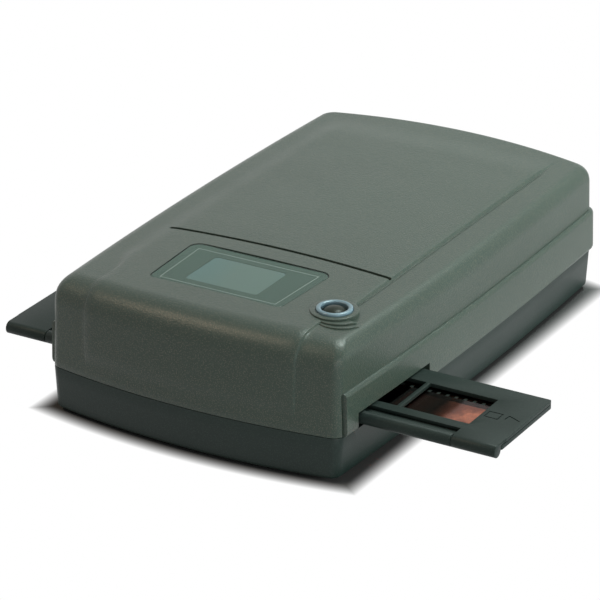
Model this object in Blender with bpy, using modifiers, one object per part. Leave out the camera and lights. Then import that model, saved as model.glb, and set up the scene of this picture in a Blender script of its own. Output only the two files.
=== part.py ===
"""Desktop film scanner: a long low case with bowed walls, a display, one button and a slot in each
side, and a hinged film holder that slides through the slots from right to left.

Metres, +Z up, +Y to the back. The origin lies on the table, under the middle of the film holder and
of the case's depth. The pieces hang from an empty at the middle of the case's underside, and those of the
power switch from one on the rocker's axis."""

import math

import bmesh
import bpy
from mathutils import Matrix, Vector

# Small clearances and the overrun of a cutter past the face that it opens
GAP = 0.0003
RUN_GAP = 0.0004
OVERRUN = 0.002
WELD = 0.00001

# Plan of the case: reach of each wall from the origin, and how far each wall bows out
CASE_HALF_WIDTH = 0.0838
CASE_HALF_DEPTH = 0.1412
FRONT_REACH = 0.1376
SIDE_BOW = 0.0033
SIDE_MIDDLE_Y = 0.0130
FRONT_BOW = 0.0080
BACK_BOW = 0.0100
BOW_HALF_DEPTH = 0.1295
BOW_SIDE_INSET = 0.0029
CORNER_ROUND = 0.0056
COLUMNS = 6
CORNER_STEPS = 3
ROWS = 6

# Heights of the case over its own underside
PARTING_HEIGHT = 0.0215
TOP_HEIGHT = 0.0666
CROWN = 0.0018
WALL_DRAFT = 0.0010
FRONT_DRAFT = 0.0012
FRONT_ROUND_DEPTH = 0.0140
FRONT_ROUND_HEIGHT = 0.0120
SIDE_ROUND = 0.0075
BACK_ROUND = 0.0045
ROUND_STEPS = 5
UPPER_WALL = 0.0022
LID_WALL = 0.0024

# Raised middle of the top and front, bounded by a fine step on each side
PLATEAU_STEP = 0.0009
PLATEAU_RAMP = 0.0006
PLATEAU_FRONT_INSET = 0.0260
PLATEAU_REAR_INSET = 0.0211
PLATEAU_WIDEN_SETBACK = 0.0306
PLATEAU_WIDEN_LENGTH = 0.0230
PLATEAU_FADE_SETBACK = 0.0162
PLATEAU_FADE_LENGTH = 0.0250
PLATEAU_LOW_RISE = 0.0075
PLATEAU_LOW_FADE = 0.0080
GROOVE_SETBACK = 0.0876
GROOVE_WIDTH = 0.0009
GROOVE_DEPTH = 0.0009
GROOVE_BOW = 0.0024
GROOVE_STEPS = 8

# Belt round the sides and back of the upper case: its outline as shares of its round and of its proud
BELT_PROUD = 0.0020
BELT_HEIGHT = 0.0220
BELT_ROUND = 0.0026
BELT_SETBACK = 0.0114
BELT_TOP_SHARES = ((0.0, -0.5), (0.1, 0.35), (0.45, 0.82), (1.0, 1.0))
BELT_LOW_SHARES = ((1.0, 1.0), (0.4, 0.82), (0.0, 0.45))
BELT_END_SHARE = 0.1

# Lower case
BASE_TAPER = 0.0015
BASE_EDGE = 0.0020
BASE_EDGE_SHARES = ((0.0, 1.0), (0.25, 0.33), (1.0, 0.0))
BASE_FLOOR = 0.0025
LIP_THICKNESS = 0.0012
LIP_HEIGHT = 0.0026

# Rubber feet
FOOT_RADIUS = 0.0070
FOOT_PROUD = 0.0020
FOOT_SEAT = 0.0008
FOOT_SIDE_INSET = 0.0238
FOOT_FRONT_SETBACK = 0.0316
FOOT_BACK_SETBACK = 0.0352

# Vents through the floor under the main board
VENT_COUNT = 5
VENT_SETBACK = 0.0180
VENT_PITCH = 0.0060
VENT_LENGTH = 0.0500
VENT_WIDTH = 0.0022

# Screws that hold the two cases together, and their bosses
SCREW_SIDE_INSET = 0.0158
SCREW_SLOT_CLEARANCE = 0.0050
SCREW_BACK_SETBACK = 0.0272
BOSS_RADIUS = 0.0042
SCREW_RADIUS = 0.0014
SCREW_HEAD_RADIUS = 0.0027
SCREW_HEAD = 0.0018
SCREW_BITE = 0.0120
SCREW_WELL_RADIUS = 0.0032
SCREW_SHELF = 0.0140
BOSS_SEAM_RISE = 0.0035

# Display window, its panel and the pocket that takes the window
WINDOW_X = -0.0021
WINDOW_SETBACK = 0.0540
WINDOW_WIDTH = 0.0751
WINDOW_DEPTH = 0.0454
WINDOW_ROUND = 0.0045
WINDOW_FLARE_SHARE = 0.030
POCKET_DEPTH = 0.0011
PANEL_WIDTH = 0.0520
PANEL_DEPTH = 0.0400
PANEL_THICKNESS = 0.0032
PANEL_ROUND = 0.0010
LCD_WIDTH = 0.0400
LCD_DEPTH = 0.0290
SIGHT_MARGIN = 0.0020
SIGHT_ROUND = 0.0025

# Push button on its round boss, which steps down to the case's top in terraces
BUTTON_X = 0.0574
BUTTON_SETBACK = 0.0419
BOSS_RISE = 0.0027
LAND_RADIUS = 0.0118
TERRACE_RADIUS = 0.0150
TERRACE_DROP = 0.0013
LOW_TERRACE_RADIUS = 0.0178
LOW_TERRACE_DROP = 0.0024
RING_OUTER = 0.0088
RING_INNER = 0.0064
RING_PROUD = 0.0013
RING_SEAT = 0.0016
RING_LIP_SHARE = 0.25
CAP_DISH = 0.0006
CAP_DISH_SHARES = (0.6, 0.6)
CAP_UNDER_RING = 0.0005
CAP_OVERLAP = 0.0007
CAP_FLANGE_THICKNESS = 0.0012
STEM_RADIUS = 0.0020
BUTTON_TRAVEL = 0.0008
SWITCH_SIDE = 0.0060
SWITCH_HEIGHT = 0.0036
PLUNGER_RADIUS = 0.0016
PLUNGER_LENGTH = 0.0026
PLUNGER_PROUD_SHARE = 0.333

# Front circuit board under the top of the case, from beside the display to under the button
FRONT_BOARD_LEFT_MARGIN = 0.0430
FRONT_BOARD_RIGHT_MARGIN = 0.0086
FRONT_BOARD_DEPTH = 0.0440
BOARD_THICKNESS = 0.0016
PILLAR_RADIUS = 0.0030

# Film and its holder: places across the film are measured from the middle of the holder's front rail
FRAME_COUNT = 6
FRAME_PITCH = 0.0380
FRAME_LONG = 0.0358
PICTURE_DEPTH = 0.0240
FILM_WIDTH = 0.0350
FILM_THICKNESS = 0.0002
HOLDER_LENGTH = 0.2694
HOLDER_X = 0.0179
HOLDER_RISE = 0.0081
RAIL_SETBACK = 0.0256
RAIL_RADIUS = 0.0032
RAIL_TO_LID = 0.0071
RAIL_TO_PICTURE = 0.0130
RAIL_TO_BACK = 0.0545
LID_THICKNESS = 0.0017
TRAY_THICKNESS = 0.0021
LID_OPENING_DEPTH = 0.0290
FILM_CHANNEL_DEPTH = 0.0008
FILM_END_PLAY = 0.0012
KNUCKLE_LENGTH = 0.0232
KNUCKLE_STEP = 0.0002
HINGE_PIN_RADIUS = 0.0010
HINGE_PIN_LENGTH = 0.0140
NOTCH_WIDTH = 0.0030
NOTCH_DEPTH = 0.0010

# Slot in each side of the case, round the holder
SLOT_FRONT_PLAY = 0.0013
SLOT_BACK_PLAY = 0.0055
SLOT_TOP_PLAY = 0.0008

# Film guide, the channel that carries the holder inside the case, and the lamp over it
GUIDE_END_INSET = 0.0098
GUIDE_WALL = 0.0028
GUIDE_OVER_HOLDER = 0.0034
GUIDE_LEG_INSET = 0.0060
GUIDE_LEDGE_DEPTH = 0.0060
GUIDE_SIDE_PLAY = 0.0006
LIGHT_SIDE_MARGIN = 0.0091
LIGHT_FRONT_MARGIN = 0.0030
LIGHT_BACK_MARGIN = 0.0050
BRIDGE_SIDE_MARGIN = 0.0050
BRIDGE_HEIGHT = 0.0130
BRIDGE_WALL = 0.0018
DIFFUSER_THICKNESS = 0.0015
LAMP_BOARD_THICKNESS = 0.0012
LED_PITCH = 0.0140
LED_SIDE = 0.0035
DETENT_THICKNESS = 0.0004
DETENT_WIDTH = 0.0050
DETENT_HALF_LENGTH = 0.0120

# Chassis of folded sheet steel on the floor, with the rods, the screw and the motor
SHEET = 0.0012
CHASSIS_SIDE_INSET = 0.0238
CHASSIS_EDGE = 0.0005
EAR_RISE = 0.0055
EAR_HALF_DEPTH = 0.0060
ROD_RADIUS = 0.0020
ROD_HEIGHT = 0.0120
ROD_SETBACK = 0.0301
ROD_SPACING = 0.1475
ROD_TO_SCREW = 0.0130
SCREW_TO_CHASSIS_BACK = 0.0150
LIGHTENING_MARGIN = 0.0200
LIGHTENING_FRONT_MARGIN = 0.0240
LEAD_RADIUS = 0.0020

# Optical carriage: places along it are measured from the guide rods
CARRIAGE_HALF_WIDTH = 0.0180
CARRIAGE_FRONT_MARGIN = 0.0050
CARRIAGE_BACK_MARGIN = 0.0045
CARRIAGE_CLEARANCE = 0.0010
CARRIAGE_OVER_ROD = 0.0065
CARRIAGE_WALL = 0.0025
CARRIAGE_END = 0.0100
MIRROR_SLOPE = 0.0140
MIRROR_HALF_WIDTH = 0.0120
MIRROR_THICKNESS = 0.0015
LENS_RADIUS = 0.0050
LENS_STEP = 0.00075
LENS_BORE = 0.0034
LENS_LENGTH = 0.0220
LENS_TO_ROD = 0.0500
LENS_SADDLE = 0.0100
GLASS_THICKNESS = 0.0030
GLASS_BEND_SHARE = 0.6
SENSOR_HALF_WIDTH = 0.0130
SENSOR_TO_ROD = 0.0100
SENSOR_CHIP_WIDTH = 0.0200
SENSOR_CHIP_DEPTH = 0.0018
SENSOR_CHIP_HEIGHT = 0.0050
NUT_LENGTH = 0.0120
NUT_HALF = 0.0042

# Gears and motor
GEAR_MODULE = 0.0005
GEAR_TEETH = 24
PINION_TEETH = 10
GEAR_FACE = 0.0030
GEAR_SLACK = 0.0002
TOOTH_ROOT_SHARE = 0.50
TOOTH_TIP_SHARE = 0.22
ROOT_DEPTH_SHARE = 1.25
TIP_HEIGHT_SHARE = 0.80
GEAR_TO_MOTOR = 0.0040
MOTOR_TO_EAR = 0.0100
MOTOR_RADIUS = 0.0060
MOTOR_LENGTH = 0.0130
SHAFT_RADIUS = 0.0010

# Main board at the back with the sockets and the switch
MAIN_BOARD_SIDE_INSET = 0.0238
MAIN_BOARD_CLEARANCE = 0.0020
MAIN_BOARD_SETBACK = 0.0132
MAIN_BOARD_HEIGHT = 0.0060
SOCKET_DEPTH = 0.0150
SOCKET_INSET = 0.0005
USB_X = -0.0150
USB_WIDTH = 0.0120
USB_HEIGHT = 0.0108
USB_MOUTH_WIDTH = 0.0084
USB_MOUTH_HEIGHT = 0.0074
USB_TONGUE_WIDTH = 0.0056
USB_TONGUE_HEIGHT = 0.0032
USB_TONGUE_INSET = 0.0010
JACK_X = 0.0150
JACK_WIDTH = 0.0110
JACK_HEIGHT = 0.0110
JACK_MOUTH_RADIUS = 0.0030
JACK_PIN_RADIUS = 0.0010
MOUTH_DEPTH = 0.0085
ROCKER_X = 0.0400
ROCKER_Z = 0.0120
SWITCH_DEPTH = 0.0085
ROCKER_WIDTH = 0.0190
ROCKER_HEIGHT = 0.0110
ROCKER_RIM = 0.0014
ROCKER_RISE = 0.0022
ROCKER_DEEP = 0.0042
ROCKER_PLAY = 0.0007
ROCKER_SHARES = ((-1, 1, 0), (0, 0.5, 0), (1, 1, 0), (1, -0.33, 0), (0.33, 0.5, -1), (-0.33, 0.5, -1),
                 (-1, -0.33, 0))
ROCKER_TILT = math.radians(8.0)
CHIP_SIDE = 0.0160
CHIP_HEIGHT = 0.0022
CHIP_SHARES = (-0.55, -0.10, 0.30)
CAPACITOR_RADIUS = 0.0035
CAPACITOR_HEIGHT = 0.0100
CAPACITOR_PITCH = 0.0091
CAPACITOR_SHARE = 0.65

# Finishes: colour, roughness, metallic
COVER_GREY = ((0.130, 0.155, 0.142), 0.38, 0.35)
BASE_GREY = ((0.040, 0.046, 0.043), 0.48, 0.10)
HOLDER_BLACK = ((0.022, 0.028, 0.026), 0.42, 0.0)
RING_SILVER = ((0.42, 0.52, 0.60), 0.25, 0.55)
CAP_DARK = ((0.020, 0.026, 0.028), 0.25, 0.0)
WINDOW_GREY = ((0.100, 0.130, 0.122), 0.18, 0.0)
PANEL_GREY = ((0.165, 0.235, 0.220), 0.30, 0.0)
FILM_ORANGE = ((0.52, 0.16, 0.06), 0.20, 0.0)
RUBBER_BLACK = ((0.012, 0.012, 0.012), 0.80, 0.0)
STEEL = ((0.55, 0.56, 0.57), 0.30, 1.0)
BRASS = ((0.72, 0.52, 0.22), 0.30, 1.0)
BOARD_GREEN = ((0.020, 0.120, 0.050), 0.45, 0.0)
CHIP_BLACK = ((0.015, 0.015, 0.016), 0.50, 0.0)
NYLON_WHITE = ((0.72, 0.72, 0.68), 0.45, 0.0)
GLASS_CLEAR = ((0.60, 0.66, 0.68), 0.05, 0.0)

# Places worked out from the sizes above
BOW_HALF_WIDTH = CASE_HALF_WIDTH - BOW_SIDE_INSET
SIDE_ARC = (BOW_HALF_DEPTH**2 + SIDE_BOW**2) / (2 * SIDE_BOW)
FRONT_ARC = (BOW_HALF_WIDTH**2 + FRONT_BOW**2) / (2 * FRONT_BOW)
BACK_ARC = (BOW_HALF_WIDTH**2 + BACK_BOW**2) / (2 * BACK_BOW)
CENTRE_Y = (FRONT_REACH + PLATEAU_STEP - CASE_HALF_DEPTH - BELT_PROUD) / 2
SEAM_LOW = PARTING_HEIGHT - GAP / 2
SEAM_HIGH = PARTING_HEIGHT + GAP / 2
FRONT_Y = -FRONT_REACH

PLATEAU_FRONT_HALF = CASE_HALF_WIDTH - PLATEAU_FRONT_INSET
PLATEAU_REAR_HALF = CASE_HALF_WIDTH - PLATEAU_REAR_INSET
PLATEAU_WIDEN_START = FRONT_Y + PLATEAU_WIDEN_SETBACK
PLATEAU_WIDEN_END = PLATEAU_WIDEN_START + PLATEAU_WIDEN_LENGTH
PLATEAU_FADE_END = CASE_HALF_DEPTH - PLATEAU_FADE_SETBACK
PLATEAU_FADE_START = PLATEAU_FADE_END - PLATEAU_FADE_LENGTH
PLATEAU_LOW_START = PARTING_HEIGHT + PLATEAU_LOW_RISE
PLATEAU_LOW_END = PLATEAU_LOW_START + PLATEAU_LOW_FADE
GROOVE_Y = FRONT_Y + GROOVE_SETBACK
BELT_FRONT_Y = FRONT_Y + BELT_SETBACK
BASE_WALL = UPPER_WALL + GAP + LIP_THICKNESS

WINDOW_Y = FRONT_Y + WINDOW_SETBACK
BUTTON_Y = FRONT_Y + BUTTON_SETBACK
BOSS_TOP = TOP_HEIGHT + BOSS_RISE
TERRACES = ((LAND_RADIUS, 0), (TERRACE_RADIUS, TERRACE_DROP), (LOW_TERRACE_RADIUS, LOW_TERRACE_DROP))
CAP_RADIUS = RING_INNER - RUN_GAP
CAP_FLANGE = RING_INNER + CAP_OVERLAP
PANEL_TOP = TOP_HEIGHT - LID_WALL - GAP
FRONT_BOARD_TOP = PANEL_TOP - PANEL_THICKNESS - GAP
PLUNGER_TOP = FRONT_BOARD_TOP + GAP + SWITCH_HEIGHT + PLUNGER_LENGTH * PLUNGER_PROUD_SHARE

HOLDER_TOP = PARTING_HEIGHT + HOLDER_RISE
RAIL_Y = FRONT_Y + RAIL_SETBACK
RAIL_Z = HOLDER_TOP - RAIL_RADIUS
RAIL_HALF = HOLDER_LENGTH / 2 - KNUCKLE_LENGTH
HOLDER_FRONT = RAIL_Y - RAIL_RADIUS
HOLDER_BACK = RAIL_Y + RAIL_TO_BACK
LID_FRONT = RAIL_Y + RAIL_TO_LID
TRAY_TOP = HOLDER_TOP - LID_THICKNESS - GAP
TRAY_LOW = TRAY_TOP - TRAY_THICKNESS
PICTURE_FRONT = RAIL_Y + RAIL_TO_PICTURE
PICTURE_BACK = PICTURE_FRONT + PICTURE_DEPTH
PICTURE_Y = (PICTURE_FRONT + PICTURE_BACK) / 2
SLOT_FRONT = HOLDER_FRONT - SLOT_FRONT_PLAY
SLOT_BACK = HOLDER_BACK + SLOT_BACK_PLAY
SLOT_TOP = HOLDER_TOP + SLOT_TOP_PLAY
OPTICS_X = HOLDER_X - FRAME_PITCH / 2

SCREW_X = CASE_HALF_WIDTH - SCREW_SIDE_INSET
SCREW_FRONT_Y = SLOT_BACK + SCREW_SLOT_CLEARANCE
SCREW_BACK_Y = CASE_HALF_DEPTH - SCREW_BACK_SETBACK
BOSS_SEAM = PARTING_HEIGHT + BOSS_SEAM_RISE

CHASSIS_HALF_WIDTH = CASE_HALF_WIDTH - CHASSIS_SIDE_INSET
CHASSIS_TOP = BASE_FLOOR + GAP + SHEET
EAR_TOP = ROD_HEIGHT + EAR_RISE
ROD_FRONT_Y = FRONT_Y + ROD_SETBACK
ROD_BACK_Y = ROD_FRONT_Y + ROD_SPACING
CHASSIS_FRONT = ROD_FRONT_Y - EAR_HALF_DEPTH - CHASSIS_EDGE
LEAD_Y = ROD_BACK_Y + ROD_TO_SCREW
CHASSIS_BACK = LEAD_Y + SCREW_TO_CHASSIS_BACK
LIGHTENING_HALF_WIDTH = CHASSIS_HALF_WIDTH - LIGHTENING_MARGIN
LIGHTENING_FRONT = CHASSIS_FRONT + LIGHTENING_FRONT_MARGIN
LIGHTENING_BACK = ROD_BACK_Y - LIGHTENING_MARGIN
CARRIAGE_FRONT = ROD_FRONT_Y - CARRIAGE_FRONT_MARGIN
CARRIAGE_BACK = ROD_BACK_Y + CARRIAGE_BACK_MARGIN
CARRIAGE_LOW = CHASSIS_TOP + CARRIAGE_CLEARANCE
CARRIAGE_TOP = ROD_HEIGHT + CARRIAGE_OVER_ROD
LENS_Y = ROD_BACK_Y - LENS_TO_ROD
LENS_Z = CARRIAGE_LOW + CARRIAGE_WALL + LENS_RADIUS + 2 * GAP
SENSOR_Y = ROD_BACK_Y - SENSOR_TO_ROD
PINION_RADIUS = GEAR_MODULE * PINION_TEETH / 2
GEAR_RADIUS = GEAR_MODULE * GEAR_TEETH / 2
MOTOR_FACE = MOTOR_TO_EAR - CHASSIS_HALF_WIDTH
GEAR_X = MOTOR_FACE - GEAR_TO_MOTOR
MOTOR_Y = LEAD_Y + GEAR_RADIUS + PINION_RADIUS + GEAR_SLACK

GUIDE_HALF_LENGTH = CASE_HALF_WIDTH - GUIDE_END_INSET
GUIDE_LEG_X = GUIDE_HALF_LENGTH - GUIDE_LEG_INSET
GUIDE_LOW = CARRIAGE_TOP + GAP + RUN_GAP
GUIDE_DECK = RAIL_Z - RAIL_RADIUS - RUN_GAP
GUIDE_WALL_TOP = HOLDER_TOP + GUIDE_OVER_HOLDER
LIGHT_HALF_WIDTH = FRAME_LONG / 2 + LIGHT_SIDE_MARGIN
LIGHT_FRONT = PICTURE_FRONT - LIGHT_FRONT_MARGIN
LIGHT_BACK = PICTURE_BACK + LIGHT_BACK_MARGIN
BRIDGE_HALF_WIDTH = LIGHT_HALF_WIDTH + BRIDGE_SIDE_MARGIN

MAIN_BOARD_HALF_WIDTH = CASE_HALF_WIDTH - MAIN_BOARD_SIDE_INSET
MAIN_BOARD_FRONT = CHASSIS_BACK + MAIN_BOARD_CLEARANCE
MAIN_BOARD_BACK = CASE_HALF_DEPTH - MAIN_BOARD_SETBACK
BOARD_TOP = MAIN_BOARD_HEIGHT + BOARD_THICKNESS
FLANGE_SEAT = GAP * 4 / 3
TOP_CUT = LID_WALL + CROWN + BOSS_RISE + OVERRUN
WALL_CUT = BASE_WALL + BACK_BOW + OVERRUN


def clear_scene():
    for thing in list(bpy.data.objects):
        bpy.data.objects.remove(thing)


def new_collection(name):
    made = bpy.data.collections.new(name)
    bpy.context.scene.collection.children.link(made)
    return made


clear_scene()
SCANNER = new_collection("film_scanner")
CUTTERS = new_collection("cutters")
MATERIALS = {}


def new_origin():
    """The empty that every piece hangs from, in the middle of the case's underside."""
    origin = bpy.data.objects.new("scanner_origin", None)
    origin.location = (-HOLDER_X, CENTRE_Y, FOOT_PROUD)
    SCANNER.objects.link(origin)
    return origin


ORIGIN = new_origin()


def material(name, finish):
    if name not in MATERIALS:
        colour, roughness, metallic = finish
        made = bpy.data.materials.new(name)
        made.use_nodes = True
        shader = made.node_tree.nodes["Principled BSDF"]
        shader.inputs["Base Color"].default_value = (*colour, 1.0)
        shader.inputs["Roughness"].default_value = roughness
        shader.inputs["Metallic"].default_value = metallic
        made.diffuse_color = (*colour, 1.0)
        MATERIALS[name] = made
    return MATERIALS[name]


def piece(name, bm, at=(0, 0, 0), finish=None, smooth=True):
    """An object of the scanner, or a cutter where it has no finish, made from a bmesh."""
    mesh = bpy.data.meshes.new(name)
    bmesh.ops.recalc_face_normals(bm, faces=bm.faces[:])
    bm.to_mesh(mesh)
    bm.free()
    if smooth:
        mesh.shade_smooth()
        mesh.set_sharp_from_angle(angle=math.radians(35))
    made = bpy.data.objects.new(name, mesh)
    made.location = at
    made.parent = ORIGIN
    if finish:
        SCANNER.objects.link(made)
        mesh.materials.append(material(*finish))
    else:
        CUTTERS.objects.link(made)
        made.hide_render = True
        made.display_type = "WIRE"
    return made


def pieces(names, places, bm, finish):
    """Equal pieces, each an object of its own on one shared mesh."""
    first = piece(names[0], bm, places[0], finish)
    for name, at in zip(names[1:], places[1:]):
        copy = bpy.data.objects.new(name, first.data)
        copy.location = at
        copy.parent = ORIGIN
        SCANNER.objects.link(copy)


def boolean(target, tool, operation):
    step = target.modifiers.new(f"{operation.lower()}_{tool.name}", "BOOLEAN")
    step.operation = operation
    step.solver = "EXACT"
    step.object = tool


def cut(target, *tools):
    for tool in tools:
        boolean(target, tool, "DIFFERENCE")


def join(target, *tools):
    for tool in tools:
        boolean(target, tool, "UNION")


def box_mesh(width, depth, height, middle=(0, 0, 0), bm=None):
    bm = bm or bmesh.new()
    place = Matrix.Translation(middle) @ Matrix.Diagonal((width, depth, height, 1))
    bmesh.ops.create_cube(bm, size=1, matrix=place)
    return bm


def span_mesh(low, high, bm=None):
    """A box from its lowest to its highest corner."""
    low, high = Vector(low), Vector(high)
    size = high - low
    return box_mesh(size.x, size.y, size.z, (low + high) / 2, bm)


TURNS = {
    "Z": Matrix.Identity(4),
    "X": Matrix.Rotation(math.pi / 2, 4, "Y"),
    "Y": Matrix.Rotation(-math.pi / 2, 4, "X"),
}


def rod_mesh(radius, length, middle=(0, 0, 0), axis="Z", sides=24, tip=None, bm=None):
    """A cylinder along an axis, or a cone frustum where tip gives its other radius."""
    bm = bm or bmesh.new()
    place = Matrix.Translation(middle) @ TURNS[axis]
    bmesh.ops.create_cone(
        bm, cap_ends=True, segments=sides, radius1=radius,
        radius2=radius if tip is None else tip, depth=length, matrix=place,
    )
    return bm


def plate_mesh(width, depth, height, corner, middle=(0, 0, 0), steps=4):
    """An upright block with four rounded corners."""
    bm = box_mesh(width, depth, height)
    upright = [edge for edge in bm.edges if abs(edge.verts[0].co.z - edge.verts[1].co.z) > height / 2]
    bmesh.ops.bevel(
        bm, geom=upright, offset=corner, segments=steps, profile=0.5, affect="EDGES", material=-1,
    )
    bmesh.ops.translate(bm, vec=middle, verts=bm.verts[:])
    return bm


def turned_mesh(profile, sides=32):
    """A solid of revolution about Z from its outer profile, listed from the top to the bottom."""
    bm = bmesh.new()
    ring = [bm.verts.new((radius, 0, height)) for radius, height in profile]
    edges = [bm.edges.new(pair) for pair in zip(ring, ring[1:])]
    bmesh.ops.spin(
        bm, geom=ring + edges, cent=(0, 0, 0), axis=(0, 0, 1), angle=2 * math.pi, steps=sides,
        use_merge=True, use_duplicate=False,
    )
    bmesh.ops.remove_doubles(bm, verts=bm.verts[:], dist=WELD)
    return bm


def lay_along_y(bm):
    """Turns a mesh made upright so that its height runs along Y."""
    turn = Matrix.Rotation(math.pi / 2, 3, "X")
    bmesh.ops.rotate(bm, cent=(0, 0, 0), matrix=turn, verts=bm.verts[:])


class Level:
    """One height of a lofted case: the reach of its walls from the middle, and its corner."""

    def __init__(self, z, side, front, back, corner=CORNER_ROUND, crown=0.0, lean=0.0):
        self.z, self.side, self.front, self.back = z, side, front, back
        self.corner, self.crown, self.lean = corner, crown, lean

    def inset(self, by, z=None):
        return Level(
            self.z if z is None else z, self.side - by, self.front - by, self.back - by,
            max(self.corner - by, GAP), self.crown, self.lean,
        )


class End:
    """One end of the plan, seen as a first quarter: its arc, the widest place and the plateau's edge."""

    def __init__(self, arc, widest, edge):
        self.arc, self.widest, self.edge = arc, widest, edge


FRONT_END = End(FRONT_ARC, -SIDE_MIDDLE_Y, PLATEAU_FRONT_HALF)
BACK_END = End(BACK_ARC, SIDE_MIDDLE_Y, PLATEAU_REAR_HALF)


def quarter(side, reach, corner, end):
    """Corner centre of a bowed outline in its first quarter, and where the round meets end and side."""
    side_centre = Vector((side - SIDE_ARC, end.widest))
    end_centre = Vector((0, reach - end.arc))
    reach_side, reach_end = SIDE_ARC - corner, end.arc - corner
    between = end_centre - side_centre
    span = between.length
    along = (reach_side**2 - reach_end**2 + span**2) / (2 * span)
    across = math.sqrt(reach_side**2 - along**2)
    foot = side_centre + between * (along / span)
    turned = Vector((-between.y, between.x)) / span
    centre = max((foot + turned * across, foot - turned * across), key=lambda spot: spot.x + spot.y)
    on_end = centre + (centre - end_centre).normalized() * corner
    on_side = centre + (centre - side_centre).normalized() * corner
    return centre, on_end, on_side


def corner_arc(centre, start, end, radius, steps):
    """Points after start on the short arc from start to end, up to its middle."""
    first = math.atan2(start.y - centre.y, start.x - centre.x)
    last = math.atan2(end.y - centre.y, end.x - centre.x)
    angles = [first + (last - first) * step / (2 * steps) for step in range(1, steps + 1)]
    return [centre + Vector((math.cos(angle), math.sin(angle))) * radius for angle in angles]


def end_points(level, reach, end):
    """First-quarter points along an end wall, from the middle to the middle of the corner."""
    centre, on_end, on_side = quarter(level.side, reach, level.corner, end)
    inner, outer = end.edge - PLATEAU_RAMP / 2, end.edge + PLATEAU_RAMP / 2
    across = [inner * column / (COLUMNS - 3) for column in range(COLUMNS - 2)]
    across += [outer, (outer + on_end.x) / 2, on_end.x]
    middle = reach - end.arc
    points = [Vector((x, middle + math.sqrt(end.arc**2 - x**2))) for x in across]
    return points + corner_arc(centre, on_end, on_side, level.corner, CORNER_STEPS)


def side_points(level, reach, end):
    """First-quarter points along a side wall, from the middle to the middle of the corner."""
    centre, on_end, on_side = quarter(level.side, reach, level.corner, end)
    middle = level.side - SIDE_ARC
    rows = [on_side.y * row / ROWS for row in range(ROWS + 1)]
    points = [Vector((middle + math.sqrt(SIDE_ARC**2 - (y - end.widest) ** 2), y)) for y in rows]
    return points + corner_arc(centre, on_side, on_end, level.corner, CORNER_STEPS)


def fade(value, start, end):
    """0 before start, 1 past end, smooth between."""
    share = min(max((value - start) / (end - start), 0.0), 1.0)
    return share * share * (3 - 2 * share)


PLATEAU_COLUMN = COLUMNS - 3
SIDE_COLUMN = COLUMNS + CORNER_STEPS
END_ROW = ROWS + CORNER_STEPS


def plateau_edge(y):
    wider = fade(y, PLATEAU_WIDEN_START, PLATEAU_WIDEN_END)
    return PLATEAU_FRONT_HALF + (PLATEAU_REAR_HALF - PLATEAU_FRONT_HALF) * wider


def crown_at(x):
    return CROWN * (1 - (x / CASE_HALF_WIDTH) ** 2)


def in_the_lid(x):
    """Height of the middle of the case's top wall, where the pillars and bosses under it end."""
    return TOP_HEIGHT + crown_at(x) - LID_WALL / 2


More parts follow.
